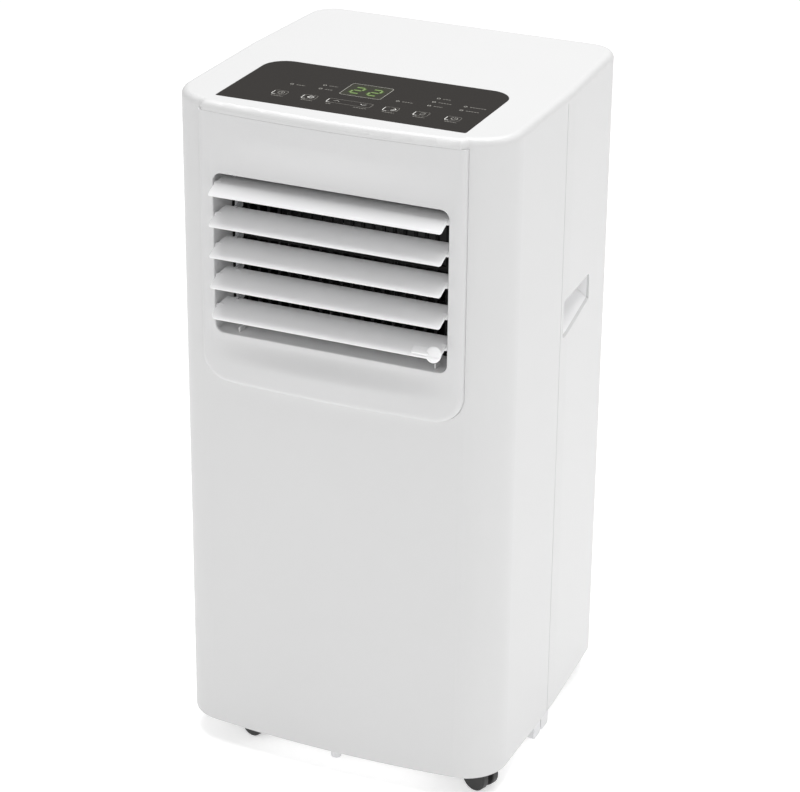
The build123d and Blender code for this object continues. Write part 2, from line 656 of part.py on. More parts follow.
with BuildPart() as pan_float:
    rod((FLOAT_X, FLOAT_Y, FLOAT_LOW_Z), 10, FLOAT_H)
    fillet(pan_float.edges().filter_by(GeomType.CIRCLE), 2)
    rod(
        (FLOAT_X, FLOAT_Y, FLOAT_LOW_Z - 1),
        FLOAT_STEM_R + RUNNING,
        FLOAT_H + 2,
        mode=Mode.SUBTRACT,
    )
save(pan_float, "pan_float")

# ---- the tray between the two halves ------------------------------------------------------------
TRAY_Z = 405.0
TRAY_T = 3.0
TRAY_TOP = 416.0
PIPE_X = -155.0
COIL_Y = 128.0
HOSE_R = 6.0
with BuildPart() as drip_tray:
    extrude(plan(TRAY_Z, PAN_INSET), amount=TRAY_TOP - TRAY_Z)
    extrude(plan(TRAY_Z + TRAY_T, PAN_INSET + 2.5), amount=TRAY_TOP, mode=Mode.SUBTRACT)
    rod((PIPE_X, COIL_Y, TRAY_Z - 1), 6.5, 6, mode=Mode.SUBTRACT)
    rod((SPOUTS["upper"][0], 140, TRAY_Z - 1), HOSE_R - 2, 6, mode=Mode.SUBTRACT)
save(drip_tray, "drip_tray")

# ---- blowers ------------------------------------------------------------------------------------
UPPER_FAN_Z = 552.0
UPPER_FAN_R = 75.0
UPPER_FAN_Y = (20.0, 80.0)
UPPER_HOUSING = (-130.0, 130.0, -20.0, 95.0, TRAY_Z + TRAY_T, 682.0)
LOWER_FAN_Z = 155.0
LOWER_FAN_R = 70.0
LOWER_FAN_Y = (40.0, 95.0)
LOWER_HOUSING = (-95.0, 95.0, 25.0, 108.0, 64.0, 402.0)
HOUSING_WALL = 2.5
SHAFT_R = 4.0
FAN_BLADES = 28


def hollow_box(x0, x1, y0, y1, z0, z1):
    """A closed box with an even wall."""
    wall = HOUSING_WALL
    block((x0, y0, z0), (x1, y1, z1))
    block((x0 + wall, y0 + wall, z0 + wall), (x1 - wall, y1 - wall, z1 - wall), Mode.SUBTRACT)


def fan_wheel(centre_z, radius, y0, y1, shaft_front_y):
    """A drum fan: a closed disc in front, a ring behind, blades between them, and its shaft."""
    with BuildPart() as wheel:
        rod((0, y0, centre_z), radius, 2, "Y")
        rod((0, y1 - 3, centre_z), radius, 3, "Y")
        rod((0, y1 - 4, centre_z), radius - 12, 6, "Y", Mode.SUBTRACT)
        middle = (y0 + y1) / 2
        with Locations(Location((0, middle, centre_z), (-90, 0, 0))):
            with PolarLocations(radius - 6.5, FAN_BLADES):
                Box(9.6, 1.6, y1 - y0 - 3)
        rod((0, y0, centre_z), 12, 20, "Y")
        rod((0, shaft_front_y, centre_z), SHAFT_R, y0 - shaft_front_y + 1, "Y")
    return wheel


def fan_motor(centre_z, radius, y0, y1):
    """A round motor with a bore for the fan's shaft at its rear end."""
    with BuildPart() as motor:
        rod((0, y0, centre_z), radius, y1 - y0 - 6, "Y")
        rod((0, y1 - 6, centre_z), 12, 6, "Y")
        rod((0, y1 - 22, centre_z), SHAFT_R + RUNNING, 24, "Y", Mode.SUBTRACT)
    return motor


with BuildPart() as upper_blower_housing:
    hollow_box(*UPPER_HOUSING)
    # the inlet faces the rear; the front opens into the duct, around a cross that holds the motor
    rod((0, UPPER_HOUSING[3] - 5, UPPER_FAN_Z), 60, 10, "Y", Mode.SUBTRACT)
    for side in (-1, 1):
        for low_z, high_z in ((478.0, UPPER_FAN_Z - 38), (UPPER_FAN_Z + 38, 636.0)):
            low_x, high_x = sorted((side * 6, side * 116))
            block((low_x, -21, low_z), (high_x, -17, high_z), Mode.SUBTRACT)
save(upper_blower_housing, "upper_blower_housing")

upper_motor_y = (UPPER_HOUSING[2] + HOUSING_WALL, UPPER_FAN_Y[0] - 1)
upper_fan_motor = fan_motor(UPPER_FAN_Z, 34, *upper_motor_y)
save(upper_fan_motor, "upper_fan_motor")
upper_fan_wheel = fan_wheel(UPPER_FAN_Z, UPPER_FAN_R, *UPPER_FAN_Y, upper_motor_y[1] - 20)
save(upper_fan_wheel, "upper_fan_wheel")

DUCT_FRONT_Y = TUNNEL_BACK_Y + GUARD_T
with BuildPart() as air_duct:
    duct_low = (-OUTLET_HALF_W - SIDE_WALL, DUCT_FRONT_Y, OUTLET_LOW_Z - SIDE_WALL)
    duct_high = (OUTLET_HALF_W + SIDE_WALL, UPPER_HOUSING[2], TUNNEL_CEILING_Z + SIDE_WALL)
    block(duct_low, duct_high)
    block(
        (-OUTLET_HALF_W, DUCT_FRONT_Y - 1, OUTLET_LOW_Z),
        (OUTLET_HALF_W, UPPER_HOUSING[2] + 1, TUNNEL_CEILING_Z),
        Mode.SUBTRACT,
    )
save(air_duct, "air_duct")

with BuildPart() as lower_blower_housing:
    hollow_box(*LOWER_HOUSING)
    rod((0, LOWER_HOUSING[3] - 5, LOWER_FAN_Z), 57, 10, "Y", Mode.SUBTRACT)
    rod((0, LOWER_HOUSING[3] - 5, COLLAR_Z), COLLAR_BORE_R, 10, "Y", Mode.SUBTRACT)
    rod((0, LOWER_HOUSING[2] - 1, LOWER_FAN_Z), 14, 5, "Y", Mode.SUBTRACT)
    for x0, x1 in ((-75, -45), (45, 75)):
        block((x0, 30, FOOT_Z + PAN_FLOOR_T), (x1, 50, LOWER_HOUSING[4]))
save(lower_blower_housing, "lower_blower_housing")

lower_motor_y = (-25.0, LOWER_HOUSING[2] + 6)
lower_fan_motor = fan_motor(LOWER_FAN_Z, 35, *lower_motor_y)
save(lower_fan_motor, "lower_fan_motor")
lower_fan_wheel = fan_wheel(LOWER_FAN_Z, LOWER_FAN_R, *LOWER_FAN_Y, lower_motor_y[1] - 20)
save(lower_fan_wheel, "lower_fan_wheel")

# ---- coils and the refrigerant circuit ----------------------------------------------------------
COIL_HALF_DEPTH = 17.0
TUBE_R = 4.0
EVAPORATOR = (120.0, TRAY_Z + TRAY_T, 650.0)      # half width, bottom, top
CONDENSER = (125.0, 60.0, 245.0)
BEND_PITCH = 36.0


def fin_pack(half_width, low_z, high_z):
    """A coil's block of fins."""
    block((-half_width, COIL_Y - COIL_HALF_DEPTH, low_z), (half_width, COIL_Y + COIL_HALF_DEPTH, high_z))


def return_bends(half_width, low_z, high_z, clear_low):
    """The half-round tube bends that stand out of both ends of a coil."""
    count = int((high_z - low_z - clear_low) // BEND_PITCH)
    for side in (-1, 1):
        for number in range(count):
            z = low_z + clear_low + BEND_PITCH * number
            with Locations(Location((side * half_width, COIL_Y, z + 10), (90, 0, 0))):
                Torus(10, TUBE_R)
    cut_depth = COIL_Y + 30
    block((-half_width, COIL_Y - 30, low_z - 30), (half_width, cut_depth, high_z + 30), Mode.SUBTRACT)


def pipe(points, radius):
    """A round pipe through points whose legs each run along one axis."""
    for start, end in zip(points, points[1:]):
        axis = next(i for i in range(3) if abs(end[i] - start[i]) > 1e-6)
        low = start if start[axis] < end[axis] else end
        rod(low, radius, abs(end[axis] - start[axis]), "XYZ"[axis])
    for corner in points[1:-1]:
        with Locations(corner):
            Sphere(radius)


with BuildPart() as evaporator_fins:
    fin_pack(*EVAPORATOR)
save(evaporator_fins, "evaporator_fins")

with BuildPart() as evaporator_tubes:
    return_bends(*EVAPORATOR, 50)
save(evaporator_tubes, "evaporator_tubes")

with BuildPart() as condenser_fins:
    fin_pack(*CONDENSER)
    for x0, x1 in ((-35, -15), (15, 35)):
        block((x0, COIL_Y - 12, FOOT_Z + PAN_FLOOR_T), (x1, COIL_Y + 12, CONDENSER[1]))
save(condenser_fins, "condenser_fins")

with BuildPart() as condenser_tubes:
    return_bends(*CONDENSER, 20)
save(condenser_tubes, "condenser_tubes")

COMPRESSOR_X, COMPRESSOR_Y = -90.5, -38.5
COMPRESSOR_R = 55.0
COMPRESSOR_LOW_Z = 45.0
COMPRESSOR_TOP_Z = 235.0
FEET_R = 65.0
FEET_ANGLES = (90.0, 210.0, 330.0)
feet = [
    (COMPRESSOR_X + FEET_R * cos(radians(a)), COMPRESSOR_Y + FEET_R * sin(radians(a)))
    for a in FEET_ANGLES
]
with BuildPart() as compressor:
    rod(
        (COMPRESSOR_X, COMPRESSOR_Y, COMPRESSOR_LOW_Z),
        COMPRESSOR_R,
        COMPRESSOR_TOP_Z - COMPRESSOR_LOW_Z,
    )
    fillet(compressor.edges().filter_by(GeomType.CIRCLE), 14)
    rod((COMPRESSOR_X, COMPRESSOR_Y, COMPRESSOR_LOW_Z - 3), 50, 10)
    for x, y in feet:
        rod((x, y, COMPRESSOR_LOW_Z - 3), 8, 3)
        with Locations(
            Location(
                ((x + COMPRESSOR_X) / 2, (y + COMPRESSOR_Y) / 2, COMPRESSOR_LOW_Z - 1.5),
                (0, 0, FEET_ANGLES[feet.index((x, y))]),
            )
        ):
            Box(FEET_R, 16, 3)
save(compressor, "compressor")

with BuildPart() as compressor_feet:
    for x, y in feet:
        rod((x, y, FOOT_Z + PAN_FLOOR_T), 7, COMPRESSOR_LOW_Z - 3 - FOOT_Z - PAN_FLOOR_T)
save(compressor_feet, "compressor_feet")

ACCUMULATOR = (-22.0, -100.0)
with BuildPart() as accumulator:
    rod((*ACCUMULATOR, 110), 18, 110)
    fillet(accumulator.edges().filter_by(GeomType.CIRCLE), 8)
    block((-70, ACCUMULATOR[1] - 3, 150), (ACCUMULATOR[0], ACCUMULATOR[1] + 3, 158))
    rod((COMPRESSOR_X, COMPRESSOR_Y, 140), COMPRESSOR_R, 30, mode=Mode.SUBTRACT)
save(accumulator, "accumulator")

with BuildPart() as refrigerant_pipes:
    # suction
    pipe(
        [
            (-EVAPORATOR[0], COIL_Y, 430),
            (PIPE_X, COIL_Y, 430),
            (PIPE_X, COIL_Y, 272),
            (PIPE_X, ACCUMULATOR[1], 272),
            (*ACCUMULATOR, 272),
            (*ACCUMULATOR, 220),
        ],
        5,
    )
    # discharge
    pipe(
        [
            (COMPRESSOR_X, COMPRESSOR_Y, COMPRESSOR_TOP_Z),
            (COMPRESSOR_X, COMPRESSOR_Y, 252),
            (-145, COMPRESSOR_Y, 252),
            (-145, COIL_Y, 252),
            (-145, COIL_Y, 236),
            (-CONDENSER[0], COIL_Y, 236),
        ],
        4,
    )
save(refrigerant_pipes, "refrigerant_pipes")

with BuildPart() as electrical_box:
    block((60, -130, 300), (150, -45, TRAY_Z))
    fillet(electrical_box.edges().filter_by(Axis.Z), 5)
save(electrical_box, "electrical_box")

# ---- rear fittings ------------------------------------------------------------------------------
INNER_BACK_Y = BACK_Y - WALL
with BuildPart() as exhaust_collar:
    rod((0, LOWER_HOUSING[3], COLLAR_Z), COLLAR_BORE_R + 3, REAR_END_Y - LOWER_HOUSING[3], "Y")
    rod((0, INNER_BACK_Y - 3.2, COLLAR_Z), 86, 3, "Y")
    block((-90, INNER_BACK_Y - 5, TRAY_Z - 1), (90, INNER_BACK_Y + 1, TRAY_Z + 20), Mode.SUBTRACT)
    # two bayonet ribs outside the casing
    for side in (-1, 1):
        low_x, high_x = sorted((side * 70, side * 78))
        block((low_x, 172, COLLAR_Z - 8), (high_x, 176, COLLAR_Z + 8))
    rod((0, LOWER_HOUSING[3] - 1, COLLAR_Z), COLLAR_BORE_R, 90, "Y", Mode.SUBTRACT)
save(exhaust_collar, "exhaust_collar")

GRILLE_FRONT_Y = 161.0
GRILLE_BACK_Y = 169.0


def grille(window, columns, pitch):
    """A slotted plate that fills a window in the rear casing, with a finger bar at its top edge."""
    x0, x1, z0, z1 = window
    with BuildPart() as plate:
        with BuildSketch(Plane.XZ.offset(-GRILLE_FRONT_Y)):
            with Locations(((x0 + x1) / 2, (z0 + z1) / 2)):
                RectangleRounded(x1 - x0 - 0.6, z1 - z0 - 0.6, 7.7)
        extrude(amount=-(GRILLE_BACK_Y - GRILLE_FRONT_Y))
        rows = int((z1 - z0 - 18) // pitch)
        slot_w = (x1 - x0 - 14) / columns - 4
        with BuildSketch(Plane.XZ.offset(-GRILLE_FRONT_Y + 1)):
            with Locations(((x0 + x1) / 2, (z0 + z1) / 2)):
                with GridLocations(slot_w + 4, pitch, columns, rows):
                    Rectangle(slot_w, pitch - 3.5)
        extrude(amount=-(GRILLE_BACK_Y - GRILLE_FRONT_Y + 2), mode=Mode.SUBTRACT)
    return plate


upper_grille = grille(UPPER_GRILLE, 4, 10.0)
save(upper_grille, "upper_grille")
lower_grille = grille(LOWER_GRILLE, 4, 10.0)
save(lower_grille, "lower_grille")

FILTER_T = 4.0
with BuildPart() as air_filter:
    x0, x1, z0, z1 = UPPER_GRILLE
    block((x0 + 3, GRILLE_FRONT_Y - FILTER_T, z0 + 3), (x1 - 3, GRILLE_FRONT_Y, z1 - 3))
    with BuildSketch(Plane.XZ.offset(-GRILLE_FRONT_Y + FILTER_T + 1)):
        with Locations(((x0 + x1) / 2, (z0 + z1) / 2)):
            with GridLocations(61, 52, 4, 4):
                Rectangle(55, 46)
    extrude(amount=-FILTER_T, mode=Mode.SUBTRACT)
save(air_filter, "air_filter")

SPOUT_FRONT_Y = 150.0
SPOUT_END_Y = 176.0
with BuildPart() as drain_spouts:
    for x, z in SPOUTS.values():
        rod((x, SPOUT_FRONT_Y, z), SPOUT_R, SPOUT_END_Y - SPOUT_FRONT_Y, "Y")
        rod((x, SPOUT_FRONT_Y - 1, z), SPOUT_BORE_R, 40, "Y", Mode.SUBTRACT)
save(drain_spouts, "drain_spouts")

for name, (x, z) in SPOUTS.items():
    with BuildPart() as plug:
        rod((x, SPOUT_END_Y - 14, z), SPOUT_BORE_R - RUNNING, 14, "Y")
        rod((x, SPOUT_END_Y, z), SPOUT_R + 0.5, REAR_END_Y - SPOUT_END_Y, "Y")
        fillet(plug.edges().filter_by(GeomType.CIRCLE).sort_by(Axis.Y)[-1], 1)
    save(plug, f"{name}_drain_plug")

with BuildPart() as drain_hose:
    hose_x, hose_z = SPOUTS["upper"]
    pipe([(hose_x, 140, TRAY_Z), (hose_x, 140, hose_z), (hose_x, SPOUT_FRONT_Y, hose_z)], HOSE_R)
save(drain_hose, "drain_hose")

with BuildPart() as mains_inlet:
    x0, x1, z0, z1 = INLET
    block((x0 + 0.2, 148, z0 + 0.2), (x1 - 0.2, BACK_Y, z1 - 0.2))
    block((x0 - 3, BACK_Y, z0 - 3), (x1 + 3, BACK_Y + 2, z1 + 3))
    block((x0 + 3, 152, z0 + 3), (x1 - 3, BACK_Y + 5, z1 - 3), Mode.SUBTRACT)
    for pin_x, pin_z in ((111, 260), (118, 265), (125, 260)):
        block((pin_x - 1, 150, pin_z - 2), (pin_x + 1, 164, pin_z + 2))
save(mains_inlet, "mains_inlet")
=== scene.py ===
"""Portable air conditioner: finishes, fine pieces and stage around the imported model."""
from __future__ import annotations

import logging
import math
from dataclasses import dataclass, field
from enum import Enum
from typing import Sequence

import bmesh
import bpy
import numpy as np
from mathutils import Matrix


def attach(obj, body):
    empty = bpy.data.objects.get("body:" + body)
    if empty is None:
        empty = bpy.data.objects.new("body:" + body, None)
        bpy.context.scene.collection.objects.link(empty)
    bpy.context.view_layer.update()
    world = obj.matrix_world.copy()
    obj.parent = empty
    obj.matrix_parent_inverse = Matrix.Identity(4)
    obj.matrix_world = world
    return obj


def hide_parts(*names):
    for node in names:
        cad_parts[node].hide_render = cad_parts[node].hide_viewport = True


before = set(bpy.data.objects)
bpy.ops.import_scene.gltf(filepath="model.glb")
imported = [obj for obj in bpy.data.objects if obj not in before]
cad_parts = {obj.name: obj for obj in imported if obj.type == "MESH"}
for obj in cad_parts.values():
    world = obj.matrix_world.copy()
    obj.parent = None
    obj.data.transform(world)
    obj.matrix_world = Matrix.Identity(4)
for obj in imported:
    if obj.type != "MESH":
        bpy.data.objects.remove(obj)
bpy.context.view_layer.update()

LOG = logging.getLogger("air_conditioner")
MM = 0.001              # metres in a millimetre
MERGE = 1e-6            # points closer than this, in metres, become one
NEAR_ZERO = 1e-9
WHITE = (1.0, 1.0, 1.0, 1.0)

LOUVRES = 5
HIGHEST_TIP_Z = 615.0   # of louvre 1, in millimetres
LOUVRE_PITCH = 31.5
LOWEST_CORNER_R = 6.0
CASTORS = 4


# ---- finishes ----------------------------------------------------------------------
COAT_ROUGHNESS = 0.12
DRIFT_SCALE = 7.0       # cells of the colour's drift per metre
DRIFT_DETAIL = 3.0
GRAIN_DETAIL = 2.0
BRUSH_SCALE = (1.0, 1.0, 0.03)
ROUGHNESS_SPREAD = 0.05
LEAST_ROUGHNESS = 0.02


class Texture(Enum):
    """The small-scale surface of a finish."""

    SMOOTH = "smooth"      # no relief
    GRAINED = "grained"    # relief that is alike in every direction
    BRUSHED = "brushed"    # relief drawn out along Z


@dataclass(frozen=True)
class Finish:
    """One surface finish.

    Attributes:
        name: The material's name.
        colour: Base colour, linear RGB.
        roughness: Middle roughness.
        texture: Its small-scale surface.
        variation: How far the colour drifts over the piece, as a share of itself.
        bump: Height of the small-scale surface, in metres.
        grain: Cells of the small-scale surface per metre.
        metallic: 1 for bare metal.
        coat: Weight of a clear coat.
        emission: Light given off, as a strength on the base colour.
        specular: Strength of the plain reflection.
    """

    name: str
    colour: tuple[float, float, float]
    roughness: float
    texture: Texture = Texture.GRAINED
    variation: float = 0.02
    bump: float = 0.00003
    grain: float = 900.0
    metallic: float = 0.0
    coat: float = 0.0
    emission: float = 0.0
    specular: float = 0.5

    def build(self) -> bpy.types.Material:
        """Makes the node material.

        Returns:
            The new material, whose patterns read Object coordinates.
        """
        material = bpy.data.materials.new(self.name)
        material.use_nodes = True
        nodes = material.node_tree.nodes
        links = material.node_tree.links
        shader = nodes["Principled BSDF"]
        shader.inputs["Metallic"].default_value = self.metallic
        shader.inputs["Coat Weight"].default_value = self.coat
        shader.inputs["Coat Roughness"].default_value = COAT_ROUGHNESS
        shader.inputs["Specular IOR Level"].default_value = self.specular
        if self.emission:
            shader.inputs["Emission Color"].default_value = (*self.colour, 1.0)
            shader.inputs["Emission Strength"].default_value = self.emission
        place = nodes.new("ShaderNodeTexCoord")

        drift = nodes.new("ShaderNodeTexNoise")
        drift.inputs["Scale"].default_value = DRIFT_SCALE
        drift.inputs["Detail"].default_value = DRIFT_DETAIL
        links.new(place.outputs["Object"], drift.inputs["Vector"])
        shade = nodes.new("ShaderNodeMixRGB")
        low = tuple(c * (1.0 - self.variation) for c in self.colour)
        high = tuple(min(1.0, c * (1.0 + self.variation)) for c in self.colour)
        shade.inputs["Color1"].default_value = (*low, 1.0)
        shade.inputs["Color2"].default_value = (*high, 1.0)
        links.new(drift.outputs["Fac"], shade.inputs["Fac"])
        links.new(shade.outputs["Color"], shader.inputs["Base Color"])

        grain = nodes.new("ShaderNodeTexNoise")
        grain.inputs["Scale"].default_value = self.grain
        grain.inputs["Detail"].default_value = GRAIN_DETAIL
        stretch = nodes.new("ShaderNodeMapping")
        if self.texture is Texture.BRUSHED:
            stretch.inputs["Scale"].default_value = BRUSH_SCALE
        links.new(place.outputs["Object"], stretch.inputs["Vector"])
        links.new(stretch.outputs["Vector"], grain.inputs["Vector"])
        rough = nodes.new("ShaderNodeMapRange")
        smoothest = max(LEAST_ROUGHNESS, self.roughness - ROUGHNESS_SPREAD)
        roughest = min(1.0, self.roughness + ROUGHNESS_SPREAD)
        rough.inputs["To Min"].default_value = smoothest
        rough.inputs["To Max"].default_value = roughest
        links.new(grain.outputs["Fac"], rough.inputs["Value"])
        links.new(rough.outputs["Result"], shader.inputs["Roughness"])
        if self.texture is not Texture.SMOOTH:
            relief = nodes.new("ShaderNodeBump")
            relief.inputs["Distance"].default_value = self.bump
            relief.inputs["Strength"].default_value = 1.0
            links.new(grain.outputs["Fac"], relief.inputs["Height"])
            links.new(relief.outputs["Normal"], shader.inputs["Normal"])
        return material


WHITE_SHELL = Finish(
    "white_shell", (0.66, 0.66, 0.66), 0.42,
    variation=0.008, bump=0.00002, grain=1400.0, coat=0.10,
)
WHITE_FRAME = Finish(
    "white_frame", (0.655, 0.655, 0.657), 0.40,
    variation=0.008, bump=0.00001, grain=1600.0, coat=0.12,
)
# The shell's white plastic made brighter: painted light that lifts the louvres and the
# handle recesses above the shade the lamps leave there.
WHITE_PAINTED_LIGHT = Finish(
    "white_painted_light", (0.92, 0.92, 0.925), 0.34,
    variation=0.008, bump=0.00001, grain=1600.0, coat=0.15,
)
WHITE_INNER = Finish("white_inner", (0.72, 0.72, 0.73), 0.5)
# Mid grey for the louvre link and the cranks: painted shade, so that they read as the
# shaded wall of the outlet's tunnel.
GREY_PAINTED_SHADE = Finish("grey_painted_shade", (0.42, 0.42, 0.43), 0.5)
# Darker than black plastic: the guard's own dark colour plus painted shade, so that the
# guard and the duct behind it read as the shade inside the outlet.
DARK_MESH_AND_SHADE = Finish("dark_mesh_and_painted_shade", (0.004, 0.004, 0.004), 0.6, variation=0.05, specular=0.15)
PANEL_FILM = Finish(
    "panel_film", (0.016, 0.0135, 0.0115), 0.42,
    variation=0.05, bump=0.00001, grain=2500.0, specular=0.14,
)
PANEL_GLASS = Finish(
    "panel_glass", (0.024, 0.024, 0.014), 0.3, Texture.SMOOTH, specular=0.14
)
BLACK_MOULD = Finish("black_mould", (0.018, 0.018, 0.018), 0.45, variation=0.08)
BLACK_SOFT = Finish("black_soft", (0.015, 0.015, 0.015), 0.7, variation=0.08)
BLACK_LACQUER = Finish(
    "black_lacquer", (0.012, 0.012, 0.013), 0.28,
    variation=0.05, bump=0.00008, grain=300.0, coat=0.4,
)
ZINC = Finish(
    "zinc", (0.55, 0.56, 0.58), 0.36, Texture.BRUSHED,
    variation=0.06, bump=0.00002, grain=500.0, metallic=1.0,
)
ALUMINIUM = Finish(
    "aluminium_fins", (0.76, 0.77, 0.79), 0.35, Texture.BRUSHED,
    variation=0.05, bump=0.00002, grain=700.0, metallic=1.0,
)
COPPER = Finish("copper_tube", (0.80, 0.42, 0.27), 0.3, variation=0.12, metallic=1.0)
BOARD_GREEN = Finish("board_green", (0.02, 0.14, 0.06), 0.35, variation=0.1, coat=0.4)
FILTER_MESH = Finish("filter_mesh", (0.05, 0.05, 0.055), 0.8, variation=0.1)

NODE_FINISHES: dict[Finish, tuple[str, ...]] = {
    WHITE_SHELL: (
        "front_casing", "rear_casing", "side_panel_left", "side_panel_right",
        "top_cover", "base_pan", "exhaust_collar", "upper_grille", "lower_grille",
    ),
    WHITE_FRAME: ("outlet_frame",),
    # Louvres and handle cups: painted light, a brighter copy of the shell's white.
    WHITE_PAINTED_LIGHT: (
        *(f"louvre_{i + 1}" for i in range(LOUVRES)),
        "handle_cup_left", "handle_cup_right",
    ),
    WHITE_INNER: (
        "lower_blower_housing", "drip_tray", "float_stem", "pan_float",
        "drain_spouts", "middle_foot", "seam_lugs",
    ),
    # Painted shade: the link takes the grey of the shaded tunnel wall.
    GREY_PAINTED_SHADE: ("louvre_link",),
    # Guard and duct: their dark colour with painted shade of the outlet's interior.
    DARK_MESH_AND_SHADE: ("outlet_guard", "air_duct"),
    PANEL_FILM: ("control_panel",),
    PANEL_GLASS: ("display_window",),
    BLACK_MOULD: (
        "castor_sockets", "upper_blower_housing", "upper_fan_wheel",
        "lower_fan_wheel", "display_module", "mains_inlet",
        *(f"castor_fork_{i + 1}" for i in range(CASTORS)),
        *(f"castor_wheels_{i + 1}" for i in range(CASTORS)),
    ),
    BLACK_SOFT: ("compressor_feet", "upper_drain_plug", "lower_drain_plug", "drain_hose"),
    BLACK_LACQUER: ("compressor", "accumulator"),
    ZINC: ("casing_screws", "upper_fan_motor", "lower_fan_motor", "electrical_box"),
    ALUMINIUM: ("evaporator_fins", "condenser_fins"),
    COPPER: ("evaporator_tubes", "condenser_tubes", "refrigerant_pipes"),
    BOARD_GREEN: ("control_board",),
    FILTER_MESH: ("air_filter",),
}


def dress_nodes() -> dict[Finish, bpy.types.Material]:
    """Gives every carried-over node its finish.

    Returns:
        The built material of each finish.
    """
    built: dict[Finish, bpy.types.Material] = {}
    for finish, names in NODE_FINISHES.items():
        built[finish] = finish.build()
        for name in names:
            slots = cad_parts[name].material_slots
            for slot in slots:
                slot.material = built[finish]
        LOG.info("finish %s on %d nodes", finish.name, len(names))
    return built


# ---- surfaces ----------------------------------------------------------------------
def grid_faces(
    rows: int, columns: int, wrap_rows: bool, wrap_columns: bool, first: int
) -> np.ndarray:
    """Four-sided faces between neighbouring points of a grid, as whole index arrays.

    Args:
        rows: Points down the grid.
        columns: Points across the grid.
        wrap_rows: Whether the last row joins the first.
        wrap_columns: Whether the last column joins the first.
        first: Index of the grid's first point.

    Returns:
        One row of four indices for each face.
    """
    row, column = np.meshgrid(
        np.arange(rows if wrap_rows else rows - 1),
        np.arange(columns if wrap_columns else columns - 1),
        indexing="ij",
    )
    next_row, next_column = (row + 1) % rows, (column + 1) % columns
    corners = (
        row * columns + column,
        row * columns + next_column,
        next_row * columns + next_column,
        next_row * columns + column,
    )
    return np.stack([c.ravel() for c in corners], axis=1) + first


@dataclass
class Shells:
    """One piece gathered from closed or open grids of points, in millimetres.

    Attributes:
        name: The piece's name.
        points: Blocks of points.
        faces: Blocks of faces.
        count: How many points there are so far.
    """

    name: str
    points: list[np.ndarray] = field(default_factory=list)
    faces: list[np.ndarray] = field(default_factory=list)
    count: int = 0

    def add(
        self, grid: np.ndarray, wrap_rows: bool = False, wrap_columns: bool = False
    ) -> None:
        """Adds one grid.

        Args:
            grid: Points of shape (rows, columns, 3), in millimetres.
            wrap_rows: Whether the last row joins the first.
            wrap_columns: Whether the last column joins the first.
        """
        rows, columns = grid.shape[:2]
        self.points.append(grid.reshape(-1, 3))
        self.faces.append(grid_faces(rows, columns, wrap_rows, wrap_columns, self.count))
        self.count += rows * columns

    def build(
        self, material: bpy.types.Material, body: str, crease_deg: float
    ) -> bpy.types.Object:
        """Makes the object, merges its poles and seams, and turns its faces outwards.

        Args:
            material: Its finish.
            body: The CAD body that it rides on.
            crease_deg: Edges that turn more than this stay sharp.

        Returns:
            The finished object.
        """
        mesh = bpy.data.meshes.new(self.name)
        points = np.concatenate(self.points) * MM
        faces = np.concatenate(self.faces)
        mesh.from_pydata(points.tolist(), [], faces.tolist())
        mesh.materials.append(material)
        work = bmesh.new()
        work.from_mesh(mesh)
        bmesh.ops.remove_doubles(work, verts=work.verts, dist=MERGE)
        bmesh.ops.dissolve_degenerate(work, edges=work.edges, dist=MERGE)
        bmesh.ops.recalc_face_normals(work, faces=work.faces)
        work.to_mesh(mesh)
        work.free()
        mesh.polygons.foreach_set("use_smooth", np.ones(len(mesh.polygons), bool))
        mesh.set_sharp_from_angle(angle=math.radians(crease_deg))
        piece = bpy.data.objects.new(self.name, mesh)
        bpy.context.scene.collection.objects.link(piece)
        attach(piece, body)
        LOG.info("piece %s: %d faces on %s", self.name, len(mesh.polygons), body)
        return piece


def rounded_loop(
    low: tuple[float, float], high: tuple[float, float], low_r: float, high_r: float,
    side: int = 30, arc: int = 10,
) -> np.ndarray:
    """A closed rounded rectangle: quarter circles with straight runs between them.

    Args:
        low: Lowest corner.
        high: Highest corner.
        low_r: Radius of the two lower corners.
        high_r: Radius of the two upper corners.
        side: Points along each straight run.
        arc: Steps round each corner.

    Returns:
        Points of shape (4 * (side + arc + 1), 2), anticlockwise.
    """
    corners = (
        (low[0] + low_r, low[1] + low_r, low_r, math.pi),
        (high[0] - low_r, low[1] + low_r, low_r, 1.5 * math.pi),
        (high[0] - high_r, high[1] - high_r, high_r, 0.0),
        (low[0] + high_r, high[1] - high_r, high_r, 0.5 * math.pi),
    )
    arcs = []
    for x, z, radius, start in corners:
        turn = np.linspace(start, start + 0.5 * math.pi, arc + 1)
        edge = [x + radius * np.cos(turn), z + radius * np.sin(turn)]
        arcs.append(np.stack(edge, axis=1))
    share = (np.arange(1, side + 1) / (side + 1))[:, None]
    runs = [a[-1] + (b[0] - a[-1]) * share for a, b in zip(arcs, arcs[1:] + arcs[:1])]
    return np.concatenate([part for pair in zip(arcs, runs) for part in pair])


def smooth_step(value: np.ndarray) -> np.ndarray:
    """Rises from 0 to 1: three times the clipped value's square less twice its cube."""
    held = np.clip(value, 0.0, 1.0)
    return held * held * (3.0 - 2.0 * held)


def turn_about_x(points: np.ndarray, degrees: float, centre: Sequence[float]) -> np.ndarray:
    """Turns points about a line along X through a centre, by the right-hand rule."""
    angle = math.radians(degrees)
    matrix = np.array(
        [
            [1.0, 0.0, 0.0],
            [0.0, math.cos(angle), -math.sin(angle)],
            [0.0, math.sin(angle), math.cos(angle)],
        ]
    )
    return (points - np.asarray(centre)) @ matrix.T + np.asarray(centre)


